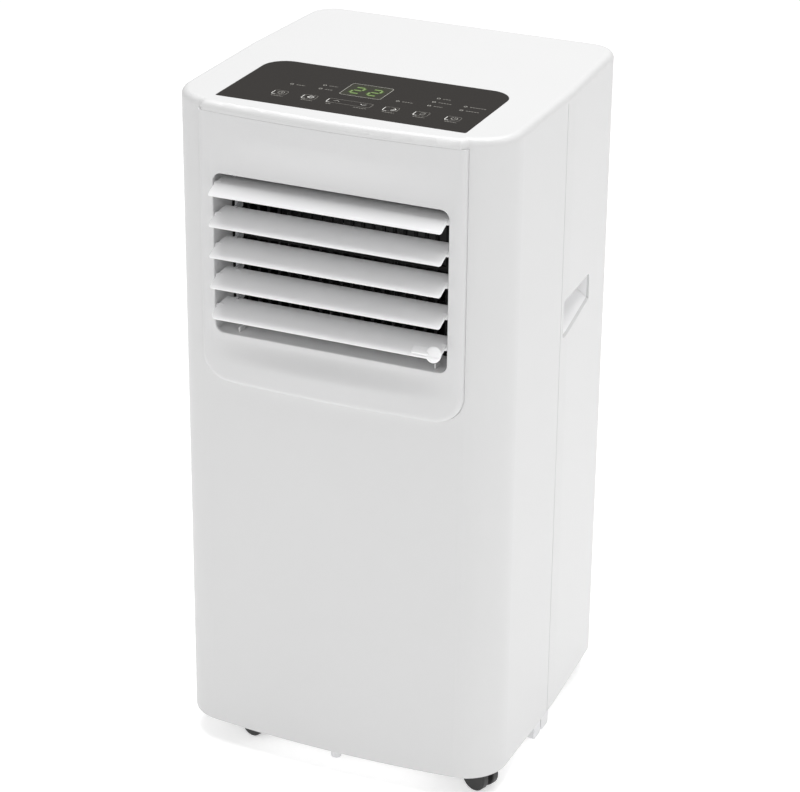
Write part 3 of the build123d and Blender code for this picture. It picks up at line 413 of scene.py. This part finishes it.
def soft_block(
    centre: Sequence[float], half: Sequence[float], squareness: float = 0.25,
    rows: int = 18, columns: int = 40,
) -> np.ndarray:
    """A rounded block.

    Each coordinate is its half size times a signed power of the sphere's cosine or sine.

    Args:
        centre: Its middle.
        half: Its half sizes along X, Y and Z.
        squareness: The power; near 0 is a sharp block, 1 is an ellipsoid.
        rows: Points from pole to pole.
        columns: Points round it.

    Returns:
        Points of shape (rows, columns, 3), whose columns wrap.
    """
    def powered(value: np.ndarray) -> np.ndarray:
        """The value's sign times its size to the power."""
        return np.sign(value) * np.abs(value) ** squareness

    rise = np.linspace(-0.5 * math.pi, 0.5 * math.pi, rows)[:, None]
    turn = np.linspace(0.0, 2.0 * math.pi, columns, endpoint=False)[None, :]
    ones = np.ones_like(turn)
    grid = np.stack(
        [
            powered(np.cos(rise)) * powered(np.cos(turn)),
            powered(np.cos(rise)) * powered(np.sin(turn)),
            powered(np.sin(rise)) * ones,
        ],
        axis=2,
    )
    return grid * np.asarray(half) + np.asarray(centre)


def turned_x(
    profile: Sequence[tuple[float, float]], y: float, z: float, columns: int = 28
) -> np.ndarray:
    """A round body on a line along X.

    Each profile point's distance from the line is swept through a full turn.

    Args:
        profile: Pairs of x and radius.
        y: The line's y.
        z: The line's z.
        columns: Points round it.

    Returns:
        Points of shape (profile, columns, 3), whose columns wrap.
    """
    x, radius = np.array(profile, float).T
    turn = np.linspace(0.0, 2.0 * math.pi, columns, endpoint=False)
    return np.stack(
        [
            np.repeat(x[:, None], columns, axis=1),
            y + radius[:, None] * np.cos(turn)[None, :],
            z + radius[:, None] * np.sin(turn)[None, :],
        ],
        axis=2,
    )


# ---- outlet ------------------------------------------------------------------------
@dataclass
class OutletSurround:
    """The bowed front frame, its flat-floored dish, the outlet's lip and the tunnel behind.

    Lengths are in millimetres.
    """

    half_width: float = 138.0
    low_z: float = 417.0
    top_z: float = 693.8
    corner_r: float = 29.0
    top_corner_r: float = 0.05
    bow_radius: float = 1273.0
    front_y: float = -172.5
    outlet_half: float = 122.0
    outlet_low: float = 469.5
    outlet_high: float = 633.0
    outlet_r: float = 9.0
    lip_r: float = 1.0
    tunnel_high: float = 648.0
    tunnel_back: float = -126.0
    tunnel_wall: float = 2.5
    tunnel_r: float = 2.0
    tunnel_gap: float = 0.6       # from the lip's straight part back to the tunnel
    dish_y: float = -165.5
    dish_half: float = 124.5      # half width of the dish's flat floor
    dish_side: float = 6.5        # run of the slope at each side
    dish_low: float = 465.0       # lower edge of the flat floor
    dish_below: float = 26.0      # run of the slope under it
    dish_high: float = 634.5
    dish_above: float = 42.0
    wall: float = 3.0
    skirt_y: float = -150.0
    face_from: float = 1.6        # where the face starts, outside the outlet's edge
    face_lines: int = 34
    face_spread: float = 1.15     # above 1 crowds the lines towards the outlet
    edge_from: float = 6.4        # where the rounded outer edge starts, inside the outline
    edge: tuple[tuple[float, float], ...] = (   # inset from the outline, and sink
        (5.0, 0.10), (3.8, 0.34), (2.7, 0.75), (1.8, 1.3), (1.0, 2.1), (0.4, 3.2),
        (0.0, 5.0),
    )
    stud_x: tuple[float, float] = (-100.0, 107.0)
    stud_y: float = -152.0
    stud_rise: float = 2.4
    stud_half: tuple[float, float, float] = (1.0, 6.0, 2.6)
    crease_deg: float = 30.0

    def bowed(self, x: np.ndarray) -> np.ndarray:
        """The front's y at x: a circle's arc whose foremost point is at x = 0."""
        return self.front_y + self.bow_radius - np.sqrt(self.bow_radius**2 - x**2)

    def face(self, x: np.ndarray, z: np.ndarray) -> np.ndarray:
        """The front's y with the dish: the arc, eased to the dish's flat floor.

        The share of the floor is one less a smooth step across each margin, and the
        margins multiply.
        """
        across = 1.0 - smooth_step((np.abs(x) - self.dish_half) / self.dish_side)
        below = 1.0 - smooth_step((self.dish_low - z) / self.dish_below)
        above = 1.0 - smooth_step((z - self.dish_high) / self.dish_above)
        share = across * below * above
        bow = self.bowed(x)
        return bow + share * (np.maximum(self.dish_y, bow) - bow)

    def loop(self, grow: float, depth: float | None) -> np.ndarray:
        """One closed line round the outlet, grown outwards from its edge.

        Args:
            grow: How far it stands outside the outlet's edge.
            depth: Its y, or None to lie on the front's face.

        Returns:
            Points of shape (n, 3).
        """
        flat = rounded_loop(
            (-self.outlet_half - grow, self.outlet_low - grow),
            (self.outlet_half + grow, self.outlet_high + grow),
            self.outlet_r + grow,
            self.outlet_r + grow,
        )
        return self.raised(flat, depth)

    def raised(self, flat: np.ndarray, depth: float | None) -> np.ndarray:
        """Gives a flat line its y.

        Args:
            flat: Points of shape (n, 2), as x and z.
            depth: The y, or None for the face's own.

        Returns:
            Points of shape (n, 3).
        """
        x, z = flat.T
        y = self.face(x, z) if depth is None else np.full_like(x, depth)
        return np.stack([x, y, z], axis=1)

    def outline(self, inset: float) -> np.ndarray:
        """A flat line inside the frame's outer edge; its top stays level under the cover.

        Args:
            inset: How far it stands inside the outer edge.

        Returns:
            Points of shape (n, 2), as x and z.
        """
        return rounded_loop(
            (-self.half_width + inset, self.low_z + inset),
            (self.half_width - inset, self.top_z),
            self.corner_r - inset,
            self.top_corner_r,
        )

    def edge_line(self, inset: float, sink: float) -> np.ndarray:
        """One line of the rounded outer edge: on the arc, set back by the sink."""
        x, z = self.outline(inset).T
        return np.stack([x, self.bowed(x) + sink, z], axis=1)

    def tunnel(self, wall: float, y: float) -> np.ndarray:
        """One closed line round the tunnel, outside its bore by a wall."""
        flat = rounded_loop(
            (-self.outlet_half - wall, self.outlet_low - wall),
            (self.outlet_half + wall, self.tunnel_high + wall),
            self.tunnel_r,
            self.tunnel_r,
        )
        return self.raised(flat, y)

    def build(self, material: bpy.types.Material) -> None:
        """Lofts the closed lines into one closed wall.

        Args:
            material: Its finish.
        """
        lip_y = self.dish_y + self.wall
        lines = [
            self.tunnel(0.0, self.tunnel_back),
            self.tunnel(0.0, lip_y + self.tunnel_gap),
            self.loop(0.0, lip_y),
            self.loop(0.0, self.dish_y + self.lip_r),
        ]
        for turn in np.radians([30.0, 60.0, 90.0]):
            grow = self.lip_r - self.lip_r * math.cos(turn)
            depth = self.dish_y + self.lip_r - self.lip_r * math.sin(turn)
            lines.append(self.loop(grow, depth))
        inner = self.loop(self.face_from, None)[:, [0, 2]]
        outer = self.outline(self.edge_from)
        for share in np.linspace(0.0, 1.0, self.face_lines) ** self.face_spread:
            lines.append(self.raised(inner + (outer - inner) * share, None))
        lines += [self.edge_line(inset, sink) for inset, sink in self.edge]
        lines += [
            self.raised(self.outline(0.0), self.skirt_y),
            self.tunnel(self.tunnel_wall, self.skirt_y),
            self.tunnel(self.tunnel_wall, self.tunnel_back),
        ]
        shells = Shells("outlet_surround")
        shells.add(np.stack(lines), wrap_rows=True, wrap_columns=True)
        for x in self.stud_x:
            place = (x, self.stud_y, self.outlet_low + self.stud_rise)
            shells.add(soft_block(place, self.stud_half), wrap_columns=True)
        piece = shells.build(material, "cabinet", self.crease_deg)
        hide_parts("outlet_frame")


@dataclass(frozen=True)
class FingerTab:
    """A finger tab on a louvre's lip: a ridge that ends in a round lobe. Millimetres.

    Each place is x, then y and z from the louvre's tip.
    """

    lobe_at: tuple[float, float, float] = (113.0, 3.8, 3.5)
    lobe_half: tuple[float, float, float] = (8.0, 8.0, 1.5)
    lobe_flattening: float = 0.6
    lobe_turn_deg: float = 70.0
    ridge_at: tuple[float, float, float] = (100.0, 5.2, 4.7)
    ridge_half: tuple[float, float, float] = (9.0, 4.5, 1.4)
    ridge_squareness: float = 0.2
    ridge_turn_deg: float = 28.0

    def add_to(self, shells: Shells, tip_y: float, tip_z: float) -> None:
        """Adds the lobe, then the ridge.

        Args:
            shells: The louvre's shells.
            tip_y: The tip's y.
            tip_z: The tip's z.
        """
        x, y, z = self.lobe_at
        centre = (x, tip_y + y, tip_z + z)
        lobe = soft_block((0.0, 0.0, 0.0), self.lobe_half, 1.0, 9, 48)
        radius = self.lobe_half[0]
        out = np.sqrt(np.sum((lobe[..., :2] / radius) ** 2, axis=2, keepdims=True))
        lobe[..., :2] *= np.where(out > NEAR_ZERO, out**-self.lobe_flattening, 1.0)
        lobe = turn_about_x(lobe + np.asarray(centre), self.lobe_turn_deg, centre)
        shells.add(lobe, wrap_columns=True)
        x, y, z = self.ridge_at
        centre = (x, tip_y + y, tip_z + z)
        ridge = soft_block(centre, self.ridge_half, self.ridge_squareness)
        shells.add(turn_about_x(ridge, self.ridge_turn_deg, centre), wrap_columns=True)


@dataclass
class Louvre:
    """One louvre: a curved blade with a thin lip, its pivots and its crank. Millimetres."""

    number: int
    tip_z: float
    tip_y: float = -180.0
    half_length: float = 120.3
    depth: float = 38.5
    rise: float = 8.0
    thickness: float = 2.3
    sag_point: tuple[float, float] = (17.0, 6.7)
    left_corner_r: float = 2.0
    right_corner_r: float = 2.4
    end_run: float = 8.0          # length near each end where the points crowd
    end_round: float = 0.9
    tip_taper: float = 2.2
    inner_taper: float = 1.0
    end_points: int = 12
    middle_points: int = 26
    across_points: int = 30
    pivot_y: float = -160.0
    pivot_rise: float = 5.5
    pivot: tuple[tuple[float, float], ...] = (   # past the blade's end, and radius
        (-5.0, 0.0), (-5.0, 2.8), (-4.6, 3.3), (-0.4, 3.3), (0.0, 2.9), (0.0, 2.5),
        (3.6, 2.5), (4.0, 2.1), (4.0, 0.0),
    )
    crank_x: float = -109.7
    crank_y: float = -134.0
    crank_rise: float = 9.0
    crank_overlap: float = 3.0    # how far the arm reaches into the blade
    crank_past: float = 2.4       # how far it reaches past its pin
    crank_half: tuple[float, float] = (1.5, 2.6)   # along X, and along Z
    crank_pin: tuple[tuple[float, float], ...] = (   # from crank_x, and radius
        (1.0, 0.0), (1.0, 1.5), (-4.0, 1.5), (-4.3, 1.2), (-4.3, 0.0),
    )
    crease_deg: float = 50.0
    crank_crease_deg: float = 40.0
    tab: FingerTab | None = None

    def middle_z(self, back: np.ndarray) -> np.ndarray:
        """The blade's middle height at a distance behind the tip.

        It follows the circle through the tip, the bend and the inner edge.
        """
        (x1, z1), (x2, z2) = self.sag_point, (self.depth, self.rise)
        across = 2.0 * (x1 * z2 - x2 * z1)
        centre_x = (z2 * (x1**2 + z1**2) - z1 * (x2**2 + z2**2)) / across
        centre_z = (x1 * (x2**2 + z2**2) - x2 * (x1**2 + z1**2)) / across
        radius = math.hypot(centre_x, centre_z)
        return self.tip_z + centre_z + np.sqrt(radius**2 - (back - centre_x) ** 2)

    @staticmethod
    def drawn_back(distance: np.ndarray, radius: float) -> np.ndarray:
        """How far a quarter circle stands back at a distance from the end."""
        inside = np.clip(radius - distance, 0.0, radius)
        return radius - np.sqrt(np.maximum(radius**2 - inside**2, 0.0))

    def blade(self) -> np.ndarray:
        """The blade's closed surface.

        Across the blade the half thickness follows the square root of the distance from
        each edge, so that both edges are round; along it, the same rounding closes the
        two ends, and the tip is drawn back at its corners by a quarter circle.

        Returns:
            Points of shape (along, around, 3), whose columns wrap.
        """
        length = 2.0 * self.half_length
        fine = 1.0 - np.cos(np.linspace(0.0, 0.5 * math.pi, self.end_points))
        middle = np.linspace(self.end_run, length - self.end_run, self.middle_points)
        along = np.concatenate([fine * self.end_run, middle[1:-1]])
        along = np.concatenate([along, length - fine[::-1] * self.end_run])
        x = along - self.half_length
        from_left, from_right = along, length - along
        pull = self.drawn_back(from_left, self.left_corner_r)
        pull = (pull + self.drawn_back(from_right, self.right_corner_r))[:, None]
        end_share = np.clip(np.minimum(from_left, from_right) / self.end_round, 0.0, 1.0)
        end_round = np.sqrt(1.0 - (1.0 - end_share) ** 2)
        spread = 0.5 - 0.5 * np.cos(np.linspace(0.0, math.pi, self.across_points))
        back = pull + spread[None, :] * (self.depth - pull)
        from_tip = np.clip((back - pull) / self.tip_taper, 0.0, 1.0)
        from_inner = np.clip((self.depth - back) / self.inner_taper, 0.0, 1.0)
        thick = 0.5 * self.thickness * np.sqrt(1.0 - (1.0 - from_tip) ** 2)
        thick = thick * np.sqrt(1.0 - (1.0 - from_inner) ** 2) * end_round[:, None]
        z = self.middle_z(back)
        y = self.tip_y + back
        wide = np.repeat(x[:, None], back.shape[1], axis=1)
        top = np.stack([wide, y, z + thick], axis=2)
        bottom = np.stack([wide, y, z - thick], axis=2)[:, ::-1]
        return np.concatenate([top, bottom[:, 1:-1]], axis=1)

    def build_crank(self, material: bpy.types.Material) -> None:
        """Makes the arm behind the blade and the pin that the link turns on.

        Args:
            material: Its grey: painted shade, so that the arm reads as the shaded tunnel
                wall.
        """
        pin_z = self.tip_z + self.crank_rise
        start = self.tip_y + self.depth - self.crank_overlap
        half_x, half_z = self.crank_half
        half_y = (self.crank_y - start) / 2 + self.crank_past
        middle = (self.crank_x + half_x, (start + self.crank_y) / 2, pin_z)
        shells = Shells(f"louvre_crank_{self.number}")
        shells.add(soft_block(middle, (half_x, half_y, half_z)), wrap_columns=True)
        pin = [(self.crank_x + along, radius) for along, radius in self.crank_pin]
        shells.add(turned_x(pin, self.crank_y, pin_z, 20), wrap_columns=True)
        piece = shells.build(material, f"louvre_{self.number}", self.crank_crease_deg)

    def build(
        self, material: bpy.types.Material, crank_material: bpy.types.Material
    ) -> None:
        """Makes the louvre with its pivots, its crank and any finger tab.

        Args:
            material: The blade's finish: a brighter copy of the shell's white, painted
                light.
            crank_material: The crank's grey: painted shade, so that it reads as the shaded
                tunnel wall.
        """
        shells = Shells(f"louvre_blade_{self.number}")
        shells.add(self.blade(), wrap_columns=True)
        for side in (-1.0, 1.0):
            end = side * self.half_length
            pivot = [(end + side * past, radius) for past, radius in self.pivot]
            place_z = self.tip_z + self.pivot_rise
            shells.add(turned_x(pivot, self.pivot_y, place_z), wrap_columns=True)
        self.build_crank(crank_material)
        if self.tab:
            self.tab.add_to(shells, self.tip_y, self.tip_z)
        piece = shells.build(material, f"louvre_{self.number}", self.crease_deg)
        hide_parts(f"louvre_{self.number}")


# ---- control panel -----------------------------------------------------------------
class Print(Enum):
    """How strongly a mark on the panel is printed."""

    BRIGHT = "bright"
    PLAIN = "plain"
    FAINT = "faint"
    DIGIT = "digit"
    HALO = "halo"


def ribbon(
    path: np.ndarray, width: float, closed: bool, z: float, height: float
) -> np.ndarray:
    """A flat stroke along a path, offset by half the width along each point's normal.

    Args:
        path: Points of shape (n, 2).
        width: The stroke's width.
        closed: Whether the path joins up.
        z: Height of the stroke's underside.
        height: Its thickness.

    Returns:
        Points of shape (n, 4, 3), whose columns wrap: a section at each path point.
    """
    if closed:
        ahead, behind = np.roll(path, -1, axis=0), np.roll(path, 1, axis=0)
    else:
        ahead = np.concatenate([path[1:], path[-1:]])
        behind = np.concatenate([path[:1], path[:-1]])
    run = ahead - behind
    run = run / np.maximum(np.linalg.norm(run, axis=1, keepdims=True), NEAR_ZERO)
    normal = np.stack([-run[:, 1], run[:, 0]], axis=1) * width / 2
    left, right = path + normal, path - normal
    low, high = np.full((len(path), 1), z), np.full((len(path), 1), z + height)
    pairs = ((left, low), (right, low), (right, high), (left, high))
    section = [np.hstack(pair) for pair in pairs]
    return np.stack(section, axis=1)


@dataclass(frozen=True)
class Arc:
    """Part of a circle in an icon: its middle, radius, two angles, width and ink."""

    x: float
    y: float
    radius: float
    start_deg: float
    end_deg: float
    width: float
    ink: Print = Print.PLAIN
    points: int = 24

    def path(self, x: float, y: float) -> np.ndarray:
        """Points along the arc, with the icon's middle at x, y."""
        turn = np.radians(np.linspace(self.start_deg, self.end_deg, self.points))
        across = x + self.x + self.radius * np.cos(turn)
        return np.stack([across, y + self.y + self.radius * np.sin(turn)], axis=1)


@dataclass(frozen=True)
class Line:
    """A bent line in an icon: its corners, width and ink."""

    corners: tuple[tuple[float, float], ...]
    width: float
    ink: Print = Print.PLAIN

    def path(self, x: float, y: float) -> np.ndarray:
        """The corners, with the icon's middle at x, y."""
        return np.array([(x + right, y + up) for right, up in self.corners])


def fan_blade(turn_deg: float) -> Arc:
    """One blade of the fan icon, at an angle round its hub."""
    reach, radius, half_sweep = 1.6, 1.3, 120.0
    x = reach * math.cos(math.radians(turn_deg))
    y = reach * math.sin(math.radians(turn_deg))
    sweep = (turn_deg - half_sweep, turn_deg + half_sweep)
    return Arc(x, y, radius, *sweep, 0.9, Print.BRIGHT, 12)


# Each key's icon: how far it stands right of the key's middle, and its strokes.
ICONS: dict[str, tuple[float, tuple[Arc | Line, ...]]] = {
    "timer": (1.0, (
        Arc(0.0, 0.0, 3.2, 0.0, 345.0, 0.45),
        Line(((0.0, 2.2), (0.0, 0.0), (1.6, 0.0)), 0.45),
    )),
    "fan": (1.0, tuple(fan_blade(turn) for turn in (20.0, 110.0, 200.0, 290.0))),
    "sleep": (1.5, (
        Arc(0.0, 0.0, 2.9, -110.0, 60.0, 0.8, Print.BRIGHT),
        Arc(-1.9, 1.2, 3.0, -75.0, 25.0, 0.5),
    )),
    "mode": (1.0, (
        Arc(0.0, 0.0, 2.8, 30.0, 160.0, 0.55),
        Arc(0.0, 0.0, 2.8, 210.0, 340.0, 0.55),
    )),
    "power": (1.0, (
        Arc(0.0, 0.0, 3.0, 115.0, 425.0, 0.5),
        Line(((0.0, 3.6), (0.0, 0.6)), 0.5),
    )),
}
UP_ARROW = Line(((6.0, -1.0), (9.0, 1.4), (12.0, -1.0)), 0.6)
DOWN_ARROW = Line(((-12.0, 1.2), (-9.0, -1.2), (-6.0, 1.2)), 0.6, Print.BRIGHT)


@dataclass
class PanelMarks:
    """The control panel's printed marks and its window's lit digits. Millimetres."""

    top_z: float = 702.9
    ink: float = 0.03             # thickness of one layer of print
    keys: dict[str, float] = field(
        default_factory=lambda: {
            "timer": -76.0, "fan": -45.0, "sleep": 39.0, "mode": 70.0, "power": 102.0,
        }
    )
    key_y: float = -112.0
    key_half: tuple[float, float] = (7.0, 5.6)
    key_r: float = 2.2
    key_line: float = 0.35
    key_corner_line: float = 0.7
    key_corner_arms: tuple[float, float] = (4.2, 2.0)   # along X, and short of the top
    icon_rise: float = 0.4
    long_key: tuple[float, float] = (-26.0, 19.0)
    label_drop: float = 9.6       # from a key's middle down to its label
    label_shift: float = 1.0
    label_length: float = 12.0
    long_labels: tuple[tuple[float, float], ...] = ((-21.0, 6.0), (11.0, 13.0))
    bar: float = 2.2
    bar_gap: float = 0.55
    bar_least: float = 0.6
    bar_width: float = 0.9
    lamps: tuple[tuple[float, float, float], ...] = (   # x, y and its label's length
        (-77.0, -84.0, 9.0), (-47.0, -74.0, 9.0), (-46.5, -85.0, 8.0),
        (35.0, -87.4, 11.0), (66.8, -64.0, 8.0), (66.8, -75.3, 13.0),
        (67.0, -87.0, 9.0), (99.0, -75.0, 17.0), (99.4, -86.5, 13.0),
    )
    lamp_r: float = 1.5
    lamp_label: float = 4.6       # from a lamp's middle to its label
    line: float = 0.5
    window: tuple[float, float] = (-3.3, -74.0)
    window_half: tuple[float, float] = (21.4, 17.4)
    window_r: float = 3.4
    digit_shift: float = 9.0
    digit_drop: float = 1.0
    digit_size: tuple[float, float] = (9.5, 17.0)
    segment_gap: float = 0.9
    segment_width: float = 2.1
    halo_width: float = 5.2
    crease_deg: float = 30.0
    shells: dict[Print, Shells] = field(default_factory=dict)

    def stroke(
        self, ink: Print, path: np.ndarray, width: float,
        closed: bool = False, lift: float = 0.0,
    ) -> None:
        """Adds one stroke.

        Args:
            ink: How strongly it is printed.
            path: Points of shape (n, 2).
            width: Its width.
            closed: Whether it joins up.
            lift: Extra height, for a mark that lies over another.
        """
        grid = ribbon(np.asarray(path, float), width, closed, self.top_z + lift, self.ink)
        shells = self.shells.setdefault(ink, Shells(f"panel_marks_{ink.value}"))
        shells.add(grid, wrap_rows=closed, wrap_columns=True)
        if not closed:
            for end in (grid[:1], grid[-1:]):
                shells.add(np.stack([end[0][[0, 1]], end[0][[3, 2]]]))

    def key_frame(self, x0: float, x1: float) -> None:
        """A key's rounded outline, with its near left corner printed brighter."""
        y0, y1 = self.key_y - self.key_half[1], self.key_y + self.key_half[1]
        outline = rounded_loop((x0, y0), (x1, y1), self.key_r, self.key_r, 6, 6)
        self.stroke(Print.FAINT, outline, self.key_line, closed=True)
        along, short = self.key_corner_arms
        bend = Arc(0.0, 0.0, self.key_r, 180.0, 270.0, self.key_corner_line, points=8)
        corner = bend.path(x0 + self.key_r, y0 + self.key_r)
        bright = np.concatenate([[(x0, y1 - short)], corner, [(x0 + along, y0)]])
        self.stroke(Print.BRIGHT, bright, self.key_corner_line, lift=self.ink)

    def label(self, x: float, y: float, length: float) -> None:
        """A short row of plain bars in place of a printed word."""
        start = x - length / 2
        while start < x + length / 2 - self.bar_least:
            bar = min(self.bar, x + length / 2 - start)
            ends = np.array([(start, y), (start + bar, y)])
            self.stroke(Print.FAINT, ends, self.bar_width)
            start += bar + self.bar_gap

    def icons(self) -> None:
        """The symbol inside each key."""
        y = self.key_y + self.icon_rise
        for name, (shift, strokes) in ICONS.items():
            for mark in strokes:
                path = mark.path(self.keys[name] + shift, y)
                self.stroke(mark.ink, path, mark.width)
        for x, mark in zip(self.long_key, (UP_ARROW, DOWN_ARROW)):
            self.stroke(mark.ink, mark.path(x, y), mark.width)

    def digit_two(self, x: float, y: float) -> None:
        """One seven-segment numeral: five straight segments with gaps between them."""
        half, mid = self.digit_size[0] / 2, self.digit_size[1] / 2
        gap = self.segment_gap
        segments = (
            ((x - half + gap, y + mid), (x + half - gap, y + mid)),
            ((x + half, y + mid - gap), (x + half, y + gap)),
            ((x - half + gap, y), (x + half - gap, y)),
            ((x - half, y - gap), (x - half, y - mid + gap)),
            ((x - half + gap, y - mid), (x + half - gap, y - mid)),
        )
        for ends in segments:
            self.stroke(Print.HALO, np.array(ends), self.halo_width)
            self.stroke(Print.DIGIT, np.array(ends), self.segment_width, lift=self.ink)

    def build(self, inks: dict[Print, bpy.types.Material]) -> None:
        """Prints every mark.

        Args:
            inks: The material of each ink.
        """
        label_y = self.key_y - self.label_drop
        for x in self.keys.values():
            self.key_frame(x - self.key_half[0], x + self.key_half[0])
            self.label(x + self.label_shift, label_y, self.label_length)
        self.key_frame(*self.long_key)
        for x, length in self.long_labels:
            self.label(x, label_y, length)
        self.icons()
        ring = Arc(0.0, 0.0, self.lamp_r, 0.0, 360.0, self.line, points=21)
        for x, y, length in self.lamps:
            self.stroke(Print.PLAIN, ring.path(x, y)[:-1], self.line, closed=True)
            self.label(x + self.lamp_label + length / 2, y, length)
        (x, y), (half_x, half_y) = self.window, self.window_half
        low, high = (x - half_x, y - half_y), (x + half_x, y + half_y)
        frame_line = rounded_loop(low, high, self.window_r, self.window_r, 12, 8)
        self.stroke(Print.PLAIN, frame_line, self.line, closed=True)
        for shift in (-self.digit_shift, self.digit_shift):
            self.digit_two(x + shift, y - self.digit_drop)
        for ink, shells in self.shells.items():
            piece = shells.build(inks[ink], "cabinet", self.crease_deg)


def ink_materials() -> dict[Print, bpy.types.Material]:
    """Makes the printing inks and the glowing digits.

    Returns:
        The material of each ink.
    """
    inks = {
        Print.BRIGHT: Finish("ink_bright", (0.75, 0.74, 0.71), 0.5, variation=0.05),
        Print.PLAIN: Finish("ink_plain", (0.40, 0.39, 0.36), 0.5, variation=0.05),
        Print.FAINT: Finish("ink_faint", (0.24, 0.23, 0.21), 0.5, variation=0.08),
        Print.DIGIT: Finish(
            "digit_glow", (0.15, 0.22, 0.085), 0.4, Texture.SMOOTH,
            variation=0.05, emission=0.34, specular=0.1,
        ),
        Print.HALO: Finish(
            "digit_halo", (0.030, 0.048, 0.012), 0.4, Texture.SMOOTH,
            variation=0.1, emission=0.3, specular=0.1,
        ),
    }
    return {ink: finish.build() for ink, finish in inks.items()}


# ---- stage -------------------------------------------------------------------------
@dataclass(frozen=True)
class SoftBox:
    """One soft square light: its name, place, aim and side in metres, and its power."""

    name: str
    place: tuple[float, float, float]
    aim: tuple[float, float, float]
    side: float
    watts: float


@dataclass
class Studio:
    """The floor, the soft lights and the camera."""

    target_mm: tuple[float, float, float] = (1.493, 0.657, 355.083)
    azimuth_deg: float = 23.747
    elevation_deg: float = 24.585
    roll_deg: float = 0.566
    distance_mm: float = 2823.88
    lens_mm: float = 124.19
    sensor_mm: float = 36.0
    clip_end: float = 100.0
    floor_size: float = 60.0
    floor_colour: tuple[float, float, float, float] = (0.86, 0.86, 0.86, 1.0)
    floor_roughness: float = 0.9
    floor_glow: float = 0.47
    sky: float = 0.36
    softboxes: tuple[SoftBox, ...] = (
        SoftBox("right", (3.0, 0.4, 2.3), (0.0, 0.0, 0.5), 1.8, 20.5),
        SoftBox("top", (0.0, 0.4, 3.0), (0.0, 0.0, 0.6), 2.4, 72.0),
        SoftBox("front_right", (1.1, -2.7, 1.75), (0.0, 0.0, 0.45), 1.0, 10.0),
        SoftBox("front_left", (-0.6, -2.8, 1.9), (0.0, 0.0, 0.45), 1.0, 10.5),
    )

    def camera(self) -> None:
        """Places the camera by azimuth, elevation, roll and distance about its target."""
        az, el, roll = (
            math.radians(v) for v in (self.azimuth_deg, self.elevation_deg, self.roll_deg)
        )
        away = np.array(
            [math.sin(az) * math.cos(el), -math.cos(az) * math.cos(el), math.sin(el)]
        )
        level = np.array([math.cos(az), math.sin(az), 0.0])
        upright = np.cross(away, level)
        right = math.cos(roll) * level + math.sin(roll) * upright
        up = np.cross(away, right)
        data = bpy.data.cameras.new("camera")
        data.lens = self.lens_mm
        data.sensor_width = self.sensor_mm
        data.clip_end = self.clip_end
        camera = bpy.data.objects.new("camera", data)
        bpy.context.scene.collection.objects.link(camera)
        place = (np.array(self.target_mm) + away * self.distance_mm) * MM
        matrix = np.eye(4)
        matrix[:3] = np.stack([right, up, away, place], axis=1)
        camera.matrix_world = Matrix(matrix.tolist())
        bpy.context.scene.camera = camera

    def floor(self) -> None:
        """A plain pale floor."""
        half = self.floor_size / 2
        mesh = bpy.data.meshes.new("floor")
        mesh.from_pydata(
            [(-half, -half, 0), (half, -half, 0), (half, half, 0), (-half, half, 0)],
            [],
            [(0, 1, 2, 3)],
        )
        floor = bpy.data.objects.new("floor", mesh)
        bpy.context.scene.collection.objects.link(floor)
        material = bpy.data.materials.new("floor_paint")
        material.use_nodes = True
        shader = material.node_tree.nodes["Principled BSDF"]
        shader.inputs["Base Color"].default_value = self.floor_colour
        shader.inputs["Roughness"].default_value = self.floor_roughness
        shader.inputs["Specular IOR Level"].default_value = 0.0
        shader.inputs["Emission Color"].default_value = WHITE
        shader.inputs["Emission Strength"].default_value = self.floor_glow
        mesh.materials.append(material)

    @staticmethod
    def light(box: SoftBox) -> None:
        """Makes one light, turned to face its aim.

        Args:
            box: What it is.
        """
        data = bpy.data.lights.new(box.name, "AREA")
        data.shape = "SQUARE"
        data.size = box.side
        data.energy = box.watts
        light = bpy.data.objects.new(box.name, data)
        bpy.context.scene.collection.objects.link(light)
        back = np.array(box.place) - np.array(box.aim)
        back /= np.linalg.norm(back)
        side = np.cross([0.0, 0.0, 1.0], back)
        side /= np.linalg.norm(side)
        matrix = np.eye(4)
        matrix[:3] = np.stack([side, np.cross(back, side), back, box.place], axis=1)
        light.matrix_world = Matrix(matrix.tolist())

    def world(self) -> None:
        """An even white surround."""
        world = bpy.data.worlds.new("surround")
        bpy.context.scene.world = world
        world.use_nodes = True
        background = world.node_tree.nodes["Background"]
        background.inputs["Color"].default_value = WHITE
        background.inputs["Strength"].default_value = self.sky

    def build(self) -> None:
        """Sets the whole stage."""
        self.world()
        self.floor()
        self.camera()
        for box in self.softboxes:
            self.light(box)
        bpy.context.scene.view_settings.view_transform = "Standard"
        LOG.info("stage, lights and camera")


def main() -> None:
    """Builds every piece in order."""
    logging.basicConfig(level=logging.INFO, format="%(message)s")
    Studio().build()
    built = dress_nodes()
    OutletSurround().build(built[WHITE_FRAME])
    for number in range(1, LOUVRES):
        tip_z = HIGHEST_TIP_Z - LOUVRE_PITCH * (number - 1)
        Louvre(number, tip_z).build(built[WHITE_PAINTED_LIGHT], built[GREY_PAINTED_SHADE])
    Louvre(
        LOUVRES,
        tip_z=HIGHEST_TIP_Z - LOUVRE_PITCH * (LOUVRES - 1),
        left_corner_r=LOWEST_CORNER_R,
        tab=FingerTab(),
    ).build(built[WHITE_PAINTED_LIGHT], built[GREY_PAINTED_SHADE])
    PanelMarks().build(ink_materials())


if __name__ == "__main__":
    main()
